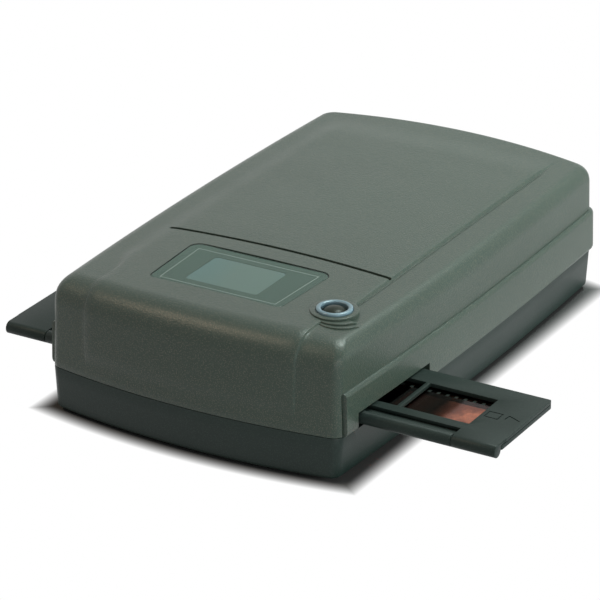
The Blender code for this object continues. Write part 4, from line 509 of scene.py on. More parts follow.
def combine(base: Shape, tool: Shape, way: Join) -> Shape:
    """Adds one closed shape to another, or cuts it away. Both are used up.

    Args:
        base: Shape that is kept.
        tool: Shape added or cut away.
        way: Whether the tool is added or cut away.

    Returns:
        The new shape.
    """
    for shape in (base, tool):
        bmesh.ops.recalc_face_normals(shape, faces=shape.faces[:])
    things = as_object("base", base), as_object("tool", tool)
    step = things[0].modifiers.new("joining", "BOOLEAN")
    step.operation = way.value
    step.solver = "MANIFOLD"
    step.object = things[1]
    result = bmesh.new()
    result.from_object(things[0], bpy.context.evaluated_depsgraph_get())
    for thing in things:
        bpy.data.meshes.remove(thing.data)
    return result


def quarter(steps: int) -> list[float]:
    """Angles of a quarter turn, in equal steps from 0."""
    return [math.pi / 2 * step / steps for step in range(steps + 1)]


def block(low: Place, high: Place, shape: Shape | None = None) -> Shape:
    """Box from its lowest to its highest corner.

    Args:
        low: Lowest corner.
        high: Highest corner.
        shape: Shape to add the box to, or None for a new one.

    Returns:
        The shape with the box.
    """
    shape = shape or bmesh.new()
    low, high = Vector(low), Vector(high)
    place = Matrix.Translation((low + high) / 2) @ Matrix.Diagonal((*(high - low), 1))
    bmesh.ops.create_cube(shape, size=1, matrix=place)
    return shape


TURNS = {"Z": Matrix.Identity(4), "X": Matrix.Rotation(math.pi / 2, 4, "Y"),
         "Y": Matrix.Rotation(-math.pi / 2, 4, "X")}


def rod(radius: float, length: float, middle: Place, axis: str = "Z", sides: int = 48,
        shape: Shape | None = None) -> Shape:
    """Cylinder along an axis.

    Args:
        radius: Radius.
        length: Length.
        middle: Place of its middle.
        axis: Axis that it lies along: X, Y or Z.
        sides: Number of sides.
        shape: Shape to add it to, or None for a new one.

    Returns:
        The shape with the cylinder.
    """
    shape = shape or bmesh.new()
    bmesh.ops.create_cone(
        shape, cap_ends=True, segments=sides, radius1=radius, radius2=radius, depth=length,
        matrix=Matrix.Translation(middle) @ TURNS[axis])
    return shape


def bevelled(shape: Shape, edges: list[BMEdge], width: float, segments: int) -> Shape:
    """Rounds edges of a shape and returns the same shape."""
    bmesh.ops.bevel(shape, geom=edges, offset=width, segments=segments, profile=0.5, affect="EDGES",
                    material=-1, clamp_overlap=True)
    return shape


def upright_edges(shape: Shape, axis: int = 2) -> list[BMEdge]:
    """Edges of a shape that run along one axis."""
    def along(edge: BMEdge) -> bool:
        """Whether an edge runs along the axis."""
        way = edge.verts[1].co - edge.verts[0].co
        return abs(way[axis]) > 0.99 * way.length

    return [edge for edge in shape.edges if along(edge)]


def slab(width: float, depth: float, height: float, corner: float, middle: Place) -> Shape:
    """Upright plate with four rounded corners.

    Args:
        width: Size along X.
        depth: Size along Y.
        height: Size along Z.
        corner: Radius of its upright corners.
        middle: Place of its middle.

    Returns:
        The plate.
    """
    half = Vector((width, depth, height)) / 2
    shape = block(tuple(-half), tuple(half))
    bevelled(shape, upright_edges(shape), corner, 8)
    bmesh.ops.translate(shape, vec=middle, verts=shape.verts[:])
    return shape


def turned(profile: list[Spot], middle: Place, sides: int = 96) -> Shape:
    """Solid of revolution round an upright axis.

    Args:
        profile: Radius and height of each point, from one end to the other.
        middle: Place of the axis, with the height that the profile counts from.
        sides: Steps round the axis.

    Returns:
        The solid.
    """
    shape = bmesh.new()
    ring = [shape.verts.new((radius, 0, height)) for radius, height in profile]
    edges = [shape.edges.new(pair) for pair in zip(ring, ring[1:])]
    bmesh.ops.spin(shape, geom=ring + edges, cent=(0, 0, 0), axis=(0, 0, 1), angle=2 * math.pi,
                   steps=sides, use_merge=True, use_duplicate=False)
    bmesh.ops.remove_doubles(shape, verts=shape.verts[:], dist=0.000005)
    bmesh.ops.recalc_face_normals(shape, faces=shape.faces[:])
    bmesh.ops.translate(shape, vec=middle, verts=shape.verts[:])
    return shape


def drawn(outline: list[Spot], low: float, high: float) -> Shape:
    """Bar along X with a constant outline.

    Args:
        outline: Y and Z of the outline's points in order.
        low: X of one end.
        high: X of the other end.

    Returns:
        The bar.
    """
    shape = bmesh.new()
    face = shape.faces.new([shape.verts.new((low, y, z)) for y, z in outline])
    grown = bmesh.ops.extrude_face_region(shape, geom=[face])["geom"]
    fresh = [item for item in grown if isinstance(item, BMVert)]
    bmesh.ops.translate(shape, vec=(high - low, 0, 0), verts=fresh)
    return shape


def softened(shape: Shape, width: float, segments: int = 2, steepest: float = 40.0) -> Shape:
    """Rounds every sharp outer edge of a shape a little.

    Args:
        shape: Shape to round.
        width: Width of the round.
        segments: Steps in the round.
        steepest: Angle in degrees past which an edge counts as sharp.

    Returns:
        The same shape.
    """
    bmesh.ops.remove_doubles(shape, verts=shape.verts[:], dist=0.000002)
    bmesh.ops.dissolve_limit(shape, angle_limit=math.radians(0.5), verts=shape.verts[:],
                             edges=shape.edges[:])
    limit = math.radians(steepest)
    sharp = [edge for edge in shape.edges
             if edge.is_manifold and edge.is_convex and edge.calc_face_angle(0.0) > limit]
    return bevelled(shape, sharp, width, segments)


def placed(name: str, shape: Shape, finish: Finishes, body: str,
           stands_for: tuple[str, ...] = (), steepest: float = 32.0) -> None:
    """Makes a shape of the case's frame a finished piece of the scanner.

    Args:
        name: Name of the piece.
        shape: Shape in the case's frame. It is used up.
        finish: Finish of the piece.
        body: Moving body that it rides on.
        stands_for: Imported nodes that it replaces.
        steepest: Angle in degrees past which an edge is shaded sharp.
    """
    bmesh.ops.translate(shape, vec=case_origin(), verts=shape.verts[:])
    piece = as_object(name, shape)
    piece.data.shade_smooth()
    piece.data.set_sharp_from_angle(angle=math.radians(steepest))
    piece.data.materials.append(finish.material)
    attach(piece, body)
    if stands_for:
        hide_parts(*stands_for)
    LOG.info("%s: %d faces", name, len(piece.data.polygons))


# Housing


def fade(value: float, start: float, end: float) -> float:
    """0 before start, 1 past end, and smooth between."""
    share = min(max((value - start) / (end - start), 0.0), 1.0)
    return share * share * (3 - 2 * share)


@dataclass(frozen=True)
class Plan:
    """Driving sizes of the housing, with the reach of each bowed wall from the origin."""

    half_width: float = 0.0838
    back_reach: float = 0.1412
    front_reach: float = 0.1376
    side_bow: float = 0.0033
    side_middle: float = 0.0130
    front_bow: float = 0.0080
    back_bow: float = 0.0100
    bow_half_depth: float = 0.1295
    bow_half_width: float = 0.0809
    corner: float = 0.0056
    parting: float = 0.0215
    seam: float = HAIR
    top: float = 0.0666
    crown: float = 0.0018
    side_draft: float = 0.0010
    end_draft: float = 0.0012
    front_round: Spot = (0.0140, 0.0120)
    side_round: float = 0.0075
    back_round: float = 0.0045
    wall: float = 0.0022
    lid_wall: float = 0.0024
    lip: float = 0.0012
    lip_rise: float = 0.0026
    taper: float = 0.0015
    floor: float = 0.0025
    base_edge: float = 0.0020

    @functools.cached_property
    def side_arc(self) -> float:
        """Radius of the side walls' arcs."""
        return (self.bow_half_depth**2 + self.side_bow**2) / (2 * self.side_bow)

    def end_arc(self, way: int) -> float:
        """Radius of the front's arc for -1 or of the back's for 1."""
        bow = self.front_bow if way < 0 else self.back_bow
        return (self.bow_half_width**2 + bow**2) / (2 * bow)

    def crown_at(self, x: float) -> float:
        """Rise of the crowned top over its edge height at a place across the case."""
        return self.crown * (1 - (x / self.half_width) ** 2)

    def wall_at(self, z: float) -> "Level":
        """Outer walls of the upper case at a height."""
        share = (z - self.parting) / (self.top - self.parting)
        back = self.end_draft * share
        return Level(z, self.half_width - self.side_draft * share, self.front_reach - back,
                     self.back_reach - back, self.corner)

    def base_at(self, z: float) -> "Level":
        """Outer walls of the lower case at a height."""
        level = self.wall_at(self.parting)
        return Level(z, level.side - self.taper * (1 - z / self.parting), level.front, level.back,
                     self.corner)

    def side_face(self, y: float, z: float) -> float:
        """Reach of the upper case's side wall at a place along the case and a height."""
        level = self.wall_at(z)
        return level.side - self.side_arc + math.sqrt(self.side_arc**2 - (y - self.side_middle) ** 2)

    def back_face(self, x: float) -> float:
        """Reach of the lower case's back wall at a place across the case."""
        arc = self.end_arc(1)
        return self.back_reach - arc + math.sqrt(arc**2 - x**2)


@dataclass
class Level:
    """One height of the housing: its walls' reach, its corner, its crown and the lean of its face."""

    z: float
    side: float
    front: float
    back: float
    corner: float
    crown: float = 0.0
    lean: float = 0.0

    def moved_in(self, by: float, z: float | None = None) -> "Level":
        """The level with its walls moved in, at its own height or another."""
        return Level(self.z if z is None else z, self.side - by, self.front - by, self.back - by,
                     max(self.corner - by, HAIR), self.crown, self.lean)


PLAN = Plan()


@functools.cache
def case_origin() -> Vector:
    """Middle of the case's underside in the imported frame."""
    low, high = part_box("lower_case")
    return Vector(((low.x + high.x) / 2, low.y + PLAN.front_reach, low.z))


def node_box(node: str) -> tuple[Vector, Vector]:
    """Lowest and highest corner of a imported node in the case's frame."""
    low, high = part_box(node)
    return low - case_origin(), high - case_origin()


@dataclass
class Plateau:
    """Raised middle of the top and front, with the places where it widens and fades out."""

    rise: float = 0.0009
    front_half: float = 0.0578
    rear_half: float = 0.0627
    widen: Spot = (-0.1070, -0.0840)
    fade_out: Spot = (0.1000, 0.1250)
    low: Spot = (0.0290, 0.0370)
    front_ramp: float = 0.0008
    rear_ramp: float = 0.0032
    ramp_grows: Spot = (-0.1200, -0.0600)
    left_ramp: float = 0.0120
    crease: float = 0.0009
    crease_starts: Spot = (-0.0980, -0.0840)

    def edge(self, y: float) -> float:
        """Half width of the plateau at a place along the case."""
        return self.front_half + (self.rear_half - self.front_half) * fade(y, *self.widen)

    def ramp(self, y: float, left: bool) -> float:
        """Width of the step at the plateau's right or left edge."""
        rear = self.left_ramp if left else self.rear_ramp
        return self.front_ramp + (rear - self.front_ramp) * fade(y, *self.ramp_grows)


@dataclass
class HousingForm:
    """Closed form with bowed walls: a crowned cap whose border is extruded through levels of walls."""

    levels: list[Level]
    plateau: Plateau = field(default_factory=Plateau)
    rise: float = 0.0
    middle_columns: int = 14
    ramp_columns: int = 7
    outer_columns: int = 6
    corner_steps: int = 7
    rows: int = 44

    def __post_init__(self) -> None:
        """Counts the grid's columns and rows from the middle to a corner."""
        self.ramp_end = self.middle_columns + self.ramp_columns
        self.columns = self.ramp_end + self.outer_columns + self.corner_steps
        self.end_row = self.rows + self.corner_steps
        self.runs: dict[tuple[int, int], tuple[list[Vector], list[Vector]]] = {}

    def corner_of(self, level: Level, way: int) -> tuple[Vector, Vector, Vector]:
        """Finds the round corner between an end wall and a side wall, as in the first quarter.

        Args:
            level: Level of the walls.
            way: -1 for the front, 1 for the back.

        Returns:
            The round's centre, and where it meets the end wall and the side wall.
        """
        reach = level.front if way < 0 else level.back
        arc, widest = PLAN.end_arc(way), way * PLAN.side_middle
        side_centre = Vector((level.side - PLAN.side_arc, widest))
        end_centre = Vector((0, reach - arc))
        from_side, from_end = PLAN.side_arc - level.corner, arc - level.corner
        between = end_centre - side_centre
        span = between.length
        along = (from_side**2 - from_end**2 + span**2) / (2 * span)
        across = math.sqrt(from_side**2 - along**2)
        foot = side_centre + between * (along / span)
        square = Vector((-between.y, between.x)) / span
        centre = max((foot + square * across, foot - square * across), key=lambda spot: spot.x + spot.y)
        on_end = centre + (centre - end_centre).normalized() * level.corner
        on_side = centre + (centre - side_centre).normalized() * level.corner
        return centre, on_end, on_side

    def corner_run(self, centre: Vector, start: Vector, end: Vector, radius: float) -> list[Vector]:
        """Points after start on the corner's round, up to its middle."""
        first = math.atan2(start.y - centre.y, start.x - centre.x)
        last = math.atan2(end.y - centre.y, end.x - centre.x)
        turns = [first + (last - first) * step / (2 * self.corner_steps)
                 for step in range(1, self.corner_steps + 1)]
        return [centre + Vector((math.cos(turn), math.sin(turn))) * radius for turn in turns]

    def border(self, level: Level, way: int) -> tuple[list[Vector], list[Vector]]:
        """First-quarter points of one end wall and of the side wall beside it.

        Args:
            level: Level of the walls.
            way: -1 for the front, 1 for the back.

        Returns:
            Points of the end wall and of the side wall, each from its middle to the corner's middle.
        """
        key = (id(level), way)
        if key not in self.runs:
            centre, on_end, on_side = self.corner_of(level, way)
            arc, plateau = PLAN.end_arc(way), self.plateau
            reach, half, ramp = ((level.front, plateau.front_half, plateau.front_ramp) if way < 0
                                 else (level.back, plateau.rear_half, plateau.rear_ramp))
            inner, outer = half - ramp / 2, half + ramp / 2
            across = [inner * step / self.middle_columns for step in range(self.middle_columns + 1)]
            across += [inner + ramp * step / self.ramp_columns
                       for step in range(1, self.ramp_columns + 1)]
            across += [outer + (on_end.x - outer) * step / self.outer_columns
                       for step in range(1, self.outer_columns + 1)]
            end = [Vector((x, reach - arc + math.sqrt(arc**2 - x**2))) for x in across]
            along = [on_side.y * step / self.rows for step in range(self.rows + 1)]
            base = level.side - PLAN.side_arc
            side = [Vector((base + math.sqrt(PLAN.side_arc**2 - (y - way * PLAN.side_middle) ** 2), y))
                    for y in along]
            end += self.corner_run(centre, on_end, on_side, level.corner)
            side += self.corner_run(centre, on_side, on_end, level.corner)
            self.runs[key] = (end, side)
        return self.runs[key]

    def on_plateau(self, column: int) -> float:
        """Share of the plateau's rise at a column."""
        return 1 - fade(abs(column), self.middle_columns, self.ramp_end)

    def ring(self, level: Level, column: int, row: int) -> Vector:
        """Place of a border point of the grid on one level.

        Args:
            level: Level of the ring.
            column: Column of the point, from the middle.
            row: Row of the point, from the middle.

        Returns:
            The place.
        """
        end, side = self.border(level, -1 if row < 0 else 1)
        spot = end[abs(column)] if abs(row) == self.end_row else side[abs(row)]
        x, y = math.copysign(spot.x, column), math.copysign(spot.y, row)
        z = level.z + level.crown * PLAN.crown_at(x)
        if row == -self.end_row:
            proud = self.rise * self.on_plateau(column) * fade(level.z, *self.plateau.low)
            y -= proud * math.cos(level.lean)
            z += proud * math.sin(level.lean)
        return Vector((x, y, z))

    def cap(self, column: int, row: int) -> Vector:
        """Place of any point of the grid on the first level.

        Args:
            column: Column of the point, from the middle.
            row: Row of the point, from the middle.

        Returns:
            The place.
        """
        level = self.levels[0]
        if abs(column) == self.columns or abs(row) == self.end_row:
            return self.ring(level, column, row)
        plateau, ends = self.plateau, (-self.end_row, self.end_row)
        front, back = (self.ring(level, column, end) for end in ends)
        corners = [self.ring(level, self.columns, end) for end in ends]
        wall = self.ring(level, self.columns, row)
        share = (wall.y - corners[0].y) / (corners[1].y - corners[0].y)
        y = front.y + (back.y - front.y) * share
        edge, ramp = plateau.edge(y), plateau.ramp(y, column < 0)
        inner, outer = edge - ramp / 2, edge + ramp / 2
        if abs(column) <= self.middle_columns:
            x = inner * column / self.middle_columns
        elif abs(column) <= self.ramp_end:
            steps = abs(column) - self.middle_columns
            x = math.copysign(inner + ramp * steps / self.ramp_columns, column)
        else:
            outset = []
            for end, corner, half, width in (
                (front, corners[0], plateau.front_half, plateau.front_ramp),
                (back, corners[1], plateau.rear_half, plateau.rear_ramp),
            ):
                start = half + width / 2
                outset.append((abs(end.x) - start) / (corner.x - start))
            across = outset[0] + (outset[1] - outset[0]) * share
            x = math.copysign(outer + (wall.x - outer) * across, column)
        proud = self.rise * self.on_plateau(column)
        down = min(max(abs(column) - self.middle_columns, 0) / self.ramp_columns, 1.0)
        if self.rise and column > 0:
            sunk = plateau.crease * math.sin(math.pi * down) ** 2
            proud -= sunk * fade(y, *plateau.crease_starts)
        proud *= 1 - fade(y, *plateau.fade_out)
        return Vector((x, y, level.z + level.crown * PLAN.crown_at(x) + proud))

    def shape(self) -> Shape:
        """The closed form: the cap, the walls and a flat far end."""
        shape = bmesh.new()
        made = bmesh.ops.create_grid(shape, x_segments=2 * self.columns, y_segments=2 * self.end_row,
                                     size=1)
        grid = {vertex: (round(vertex.co.x * self.columns), round(vertex.co.y * self.end_row))
                for vertex in made["verts"]}
        border = [edge for edge in shape.edges if edge.is_boundary]
        for vertex, (column, row) in grid.items():
            vertex.co = self.cap(column, row)
        for level in self.levels[1:]:
            grown = bmesh.ops.extrude_edge_only(shape, edges=border)["geom"]
            fresh = {item for item in grown if isinstance(item, BMVert)}
            for vertex in fresh:
                near = next(other for other in (edge.other_vert(vertex) for edge in vertex.link_edges)
                            if other not in fresh)
                grid[vertex] = grid[near]
            for vertex in fresh:
                vertex.co = self.ring(level, *grid[vertex])
            border = [item for item in grown if isinstance(item, BMEdge)
                      and item.is_boundary and item.verts[0] in fresh and item.verts[1] in fresh]
        bmesh.ops.contextual_create(shape, geom=border)
        return shape


@dataclass
class Button:
    """Push button: the stepped boss that carries it, its ring and its domed cap.

    Each shelf is its place across and along the case, its radius and the height of its top.
    """

    x: float = 0.0574
    y: float = -0.0957
    boss_top: float = 0.0693
    land: float = 0.0117
    shelves: tuple[tuple[float, float, float, float], ...] = (
        (0.0605, -0.0973, 0.0121, 0.0685), (0.0626, -0.0993, 0.0126, 0.0680))
    shelf_ends: tuple[Spot, Spot] = ((0.35, 0.80), (1.05, 1.60))
    shelf_sinks: float = 0.0022
    edge: float = 0.0005
    ring: Spot = (0.0064, 0.0088)
    ring_seat: float = 0.0016
    ring_proud: float = 0.0013
    crest: float = 0.36
    cap: float = 0.0060
    dome: float = 0.0032
    flange: Spot = (0.0071, 0.0012)
    stem: float = 0.0020
    hole: float = 0.0075

    def disc(self, x: float, y: float, radius: float, top: float) -> Shape:
        """Round land with a rounded upper edge, down into the lid.

        Args:
            x: Place of its middle across the case.
            y: Place of its middle along the case.
            radius: Its radius.
            top: Height of its top.

        Returns:
            The land.
        """
        edge, low = self.edge, PLAN.top - PLAN.lid_wall
        bend = [(radius - edge + edge * math.sin(turn), top - edge + edge * math.cos(turn))
                for turn in quarter(5)]
        return turned([(0.0, top), *bend, (radius, low), (0.0, low)], (x, y, 0))

    def boss(self) -> Shape:
        """The boss: a round land over two shelves that show only towards the front corner."""
        shape = self.disc(self.x, self.y, self.land, self.boss_top)
        (left_from, left_to), (right_from, right_to) = self.shelf_ends
        for x, y, radius, top in self.shelves:
            shelf = self.disc(x, y, radius, top)
            for vertex in shelf.verts:
                turn = math.atan2(vertex.co.x - x, y - vertex.co.y)
                sunk = max(fade(turn, right_from, right_to), fade(-turn, left_from, left_to))
                if vertex.co.z > PLAN.top:
                    vertex.co.z -= self.shelf_sinks * sunk
            shape = combine(shape, shelf, Join.ADD)
        return shape

    def openings(self, shape: Shape) -> None:
        """Adds the ring's seat to a shape of cutters."""
        place = (self.x, self.y, self.boss_top)
        rod(self.ring[1] + HAIR, 2 * self.ring_seat, place, sides=96, shape=shape)

    def build(self) -> None:
        """Makes the ring and the cap."""
        inner, outer = self.ring
        seat, top = self.boss_top - self.ring_seat, self.boss_top + self.ring_proud
        place, low, round_off = (self.x, self.y, 0), seat + HAIR, (outer - inner) * self.crest
        crest = [(inner + (outer - inner) / 2 - math.cos(turn) * (outer - inner) / 2,
                  top - round_off + math.sin(turn) * round_off)
                 for turn in (math.pi * step / 12 for step in range(13))]
        ring = turned([(inner, low), *crest, (outer, low), (inner, low)], place)
        placed("button_ring_polished", ring, Finishes.RING, "case", ("button_ring",), 50)
        flange, thick = self.flange
        foot = node_box("scan_button")[0].z
        dome = [(self.cap * math.sin(turn), top - self.dome * (1 - math.cos(turn)))
                for turn in quarter(12)]
        cap = turned([*dome, (self.cap, seat), (flange, seat), (flange, seat - thick),
                      (self.stem, seat - thick), (self.stem, foot), (0.0, foot)], place)
        placed("scan_button_cap", cap, Finishes.CAP, "button", ("scan_button",), 50)


@dataclass
class Display:
    """Display: the pane flush in the top, the print behind it and the panel below.

    The print lies a sliver under the pane, and a near-black sheet fills the gap round the pane as painted
    shade of that gap.
    """

    x: float = -0.0021
    y: float = -0.0836
    width: float = 0.0751
    depth: float = 0.0454
    front_corner: float = 0.0032
    back_corner: float = 0.0056
    flare: float = 0.030
    pane: float = 0.0003
    depth_below: float = 0.0011
    pane_edge: float = 0.00018
    gap: float = 0.00040
    print_thickness: float = 0.00030
    print_inset: float = 0.0001
    sliver: float = 0.00002
    gap_shade_drop: float = 0.00012
    face: Spot = (0.0400, 0.0290)
    face_at: Spot = (-0.0030, -0.0846)
    face_corner: float = 0.0022
    line_middle: Spot = (0.0002, -0.0011)
    line_half: Spot = (0.03275, 0.01885)
    line: float = 0.00040
    panel: Place = (0.0520, 0.0400, 0.0032)
    sight_margin: float = 0.0020
    sight_corner: float = 0.0025

    @property
    def top(self) -> float:
        """Height of the pane's face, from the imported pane."""
        return node_box("display_window")[1].z

    def flared(self, shape: Shape) -> Shape:
        """Widens a shape made round the origin towards the back and moves it under the pane."""
        for vertex in shape.verts:
            vertex.co.x *= 1 + self.flare * vertex.co.y / (self.depth / 2)
        bmesh.ops.translate(shape, vec=(self.x, self.y, 0), verts=shape.verts[:])
        return shape

    def plate(self, grow: float, low: float, high: float) -> Shape:
        """The pane's outline, grown all round, between two heights."""
        half_x, half_y = self.width / 2 + grow, self.depth / 2 + grow
        shape = block((-half_x, -half_y, low), (half_x, half_y, high))
        for way, corner in ((-1, self.front_corner), (1, self.back_corner)):
            edges = [edge for edge in upright_edges(shape)
                     if way * edge.verts[0].co.y > half_y - HAIR / 2]
            bevelled(shape, edges, corner + grow, 10)
        return self.flared(shape)

    def openings(self, shape: Shape) -> None:
        """Adds the pane's pocket and the sight under it to a shape of cutters."""
        pocket = self.plate(self.gap, self.top - self.depth_below - HAIR, self.top + OVERRUN)
        width, depth = self.face[0] + 2 * self.sight_margin, self.face[1] + 2 * self.sight_margin
        sight = slab(width, depth, 10 * OVERRUN, self.sight_corner,
                     (*self.face_at, self.top - self.depth_below))
        cutter = as_object("cutter", combine(pocket, sight, Join.ADD))
        shape.from_mesh(cutter.data)
        bpy.data.meshes.remove(cutter.data)

    def frame_line(self, height: float) -> Shape:
        """The pale line printed round the face."""
        (mid_x, mid_y), (half_x, half_y) = self.line_middle, self.line_half
        thin = self.line / 2
        low, high = height, height + self.print_thickness
        shape = bmesh.new()
        for side in (-1, 1):
            x, y = mid_x + side * half_x, mid_y + side * half_y
            block((x - thin, mid_y - half_y + thin, low), (x + thin, mid_y + half_y - thin, high), shape)
            block((mid_x - half_x - thin, y - thin, low), (mid_x + half_x + thin, y + thin, high), shape)
        return self.flared(shape)

    def build(self) -> None:
        """Makes the pane, the print, the near-black sheet of painted shade in the gap round the pane, and
        the panel.
        """
        low, edge_low = self.top - self.pane, self.top - self.depth_below
        pane = self.plate(0.0, low, self.top)
        rim = [edge for edge in pane.edges if all(spot.co.z > self.top - HAIR for spot in edge.verts)
               and len({round(face.normal.z) for face in edge.link_faces}) > 1]
        bevelled(pane, rim, self.pane_edge, 2)
        placed("display_window_pane", pane, Finishes.WINDOW, "case", ("display_window",), steepest=20)
        film_top = low - self.sliver
        film_low = film_top - self.print_thickness
        film = self.plate(-self.print_inset, film_low, film_top)
        sight = slab(*self.face, 2 * OVERRUN, self.face_corner, (*self.face_at, film_top))
        placed("display_print", combine(film, sight, Join.CUT), Finishes.BEZEL, "case")
        line = self.frame_line(film_low + self.sliver / 2)
        placed("display_frame_line", line, Finishes.FRAME_LINE, "case")
        # A near-black sheet in the gap round the pane stands for the gap's shade: painted shade.
        outer = self.plate(self.gap - HAIR / 10, edge_low, self.top - self.gap_shade_drop)
        inner = self.plate(self.sliver, edge_low - OVERRUN, self.top + OVERRUN)
        placed("display_gasket", combine(outer, inner, Join.CUT), Finishes.GAP_SHADE, "case")
        width, depth, thick = self.panel
        body_low = node_box("display_panel")[0].z
        body = slab(width, depth, thick, 0.001, (*self.face_at, body_low + thick / 2))
        placed("display_module", softened(body, 0.0002), Finishes.MODULE, "case", ("display_panel",))
        face_low, face_high = body_low + thick, film_top - HAIR / 2
        face = slab(self.face[0] - HAIR, self.face[1] - HAIR, face_high - face_low, self.face_corner,
                    (*self.face_at, (face_low + face_high) / 2))
        placed("display_face_glass", face, Finishes.DISPLAY, "case")


@dataclass
class UpperCase:
    """One-piece cover: round edges, plateau, belt, boss, slots, groove, pocket and inner posts."""

    round_steps: int = 14
    wall_heights: tuple[float, ...] = (0.0500, 0.0435, 0.0370, 0.0350, 0.0330, 0.0310, 0.0290, 0.0255)
    belt_proud: float = 0.0020
    belt_height: float = 0.0220
    belt_round: float = 0.0026
    belt_front: float = 0.1262
    belt_foot: tuple[Spot, ...] = ((1.0, 1.0), (0.6, 0.94), (0.25, 0.74))
    belt_seam: float = 0.45
    belt_edge: float = 0.0007
    belt_gap: Spot = (0.00075, 0.00025)
    belt_gap_depth: float = 0.0012
    groove_y: float = -0.0500
    groove: Spot = (0.0022, 0.0017)
    groove_bow: float = 0.0024
    slot: tuple[float, float, float] = (-0.1165, -0.0520, 0.0304)
    screws: tuple[Spot, ...] = tuple((x, y) for x in (-0.068, 0.068) for y in (-0.047, 0.114))
    boss_radius: float = 0.0042
    boss_seam: float = 0.0250
    bore: float = 0.0017
    bore_length: float = 0.024

    def levels(self, inset: float, low: float) -> list[Level]:
        """Levels from the top's rounds down to a height.

        Args:
            inset: Distance that all of them are moved in.
            low: Height of the last.

        Returns:
            The levels.
        """
        made = []
        round_depth, round_height = PLAN.front_round
        for step in range(self.round_steps + 1):
            turn = math.pi / 2 * (1 - step / self.round_steps)
            z = PLAN.top - round_height * (1 - math.sin(turn))
            level = PLAN.wall_at(z)
            for name, radius in (("side", PLAN.side_round), ("back", PLAN.back_round)):
                drop = min((PLAN.top - z) / radius, 1.0)
                inward = radius * (1 - math.sqrt(1 - (1 - drop) ** 2))
                setattr(level, name, getattr(level, name) - inward)
            level.front -= round_depth * (1 - math.cos(turn))
            level.crown = 1.0 - step / self.round_steps * fade(step, 0, self.round_steps)
            level.lean = turn
            made.append(level)
        last = len(made)
        made += [PLAN.wall_at(z) for z in (*self.wall_heights, low)]
        if not inset:
            made.insert(-1, PLAN.wall_at(low + HAIR))
            made[-1] = made[-1].moved_in(HAIR * 0.6)
            return made
        return [level.moved_in(inset, level.z - (PLAN.lid_wall if index < last else 0))
                for index, level in enumerate(made)]

    def belt(self) -> Shape:
        """The belt round the sides and back, with round edges and a square front end."""
        top, proud, bend = PLAN.parting + self.belt_height, self.belt_proud, self.belt_round
        outline = [(top, -proud / 2)]
        outline += [(top - bend * (1 - math.cos(turn)) * 0.9, proud * math.sin(turn))
                    for turn in quarter(6)]
        outline += [(PLAN.parting + bend * up, proud * out) for up, out in self.belt_foot]
        outline += [(PLAN.parting + self.seam_half, proud * self.belt_seam)]
        levels = [PLAN.wall_at(z).moved_in(-out, z) for z, out in outline]
        shape = HousingForm(levels).shape()
        geometry = shape.verts[:] + shape.edges[:] + shape.faces[:]
        cut = bmesh.ops.bisect_plane(shape, geom=geometry, plane_co=(0, -self.belt_front, 0),
                                     plane_no=(0, -1, 0), clear_outer=True)["geom_cut"]
        rim = [item for item in cut if isinstance(item, BMEdge)]
        bmesh.ops.contextual_create(shape, geom=rim)
        rim = [edge for edge in shape.edges if edge.is_manifold
               and all(abs(spot.co.y + self.belt_front) < SAME for spot in edge.verts)]
        return bevelled(shape, rim, self.belt_edge, 3)

    @property
    def seam_half(self) -> float:
        """Half the gap of the parting line."""
        return PLAN.seam / 2

    def groove_bar(self, shape: Shape) -> None:
        """Adds the thin bowed bar that cuts the groove across the top to a shape of cutters."""
        plateau = Plateau()
        half = plateau.rear_half - plateau.front_ramp
        width, depth = self.groove
        fresh_from = len(shape.verts)
        block((-half, -width / 2, -depth), (half, width / 2, depth), shape)
        shape.verts.ensure_lookup_table()
        fresh = shape.verts[fresh_from:]
        long_edges = {edge for vertex in fresh for edge in vertex.link_edges
                      if abs(edge.verts[0].co.x - edge.verts[1].co.x) > half}
        bmesh.ops.subdivide_edges(shape, edges=list(long_edges), cuts=31, use_grid_fill=True)
        shape.verts.ensure_lookup_table()
        for vertex in shape.verts[fresh_from:]:
            vertex.co.y += self.groove_y + self.groove_bow * (1 - (vertex.co.x / half) ** 2)
            vertex.co.z += PLAN.top + plateau.rise + PLAN.crown_at(vertex.co.x)

    def slots(self, shape: Shape) -> None:
        """Adds the holder's slot through both sides to a shape of cutters."""
        front, back, top = self.slot
        reach = PLAN.half_width + self.belt_proud + OVERRUN
        block((-reach, front, PLAN.parting - 2 * HAIR), (reach, back, top), shape)

    def belt_gaps(self, shape: Shape) -> None:
        """Adds the thin gap before the belt's front end on each side to a shape of cutters."""
        front, back = (-self.belt_front - share for share in self.belt_gap)
        top = PLAN.parting + self.belt_height - HAIR * 2
        for side in (-1, 1):
            face = side * PLAN.side_face(-self.belt_front, PLAN.parting)
            inner, outer = sorted((face - side * self.belt_gap_depth, face + side * 5 * OVERRUN))
            block((inner, front, PLAN.parting - OVERRUN), (outer, back, top), shape)

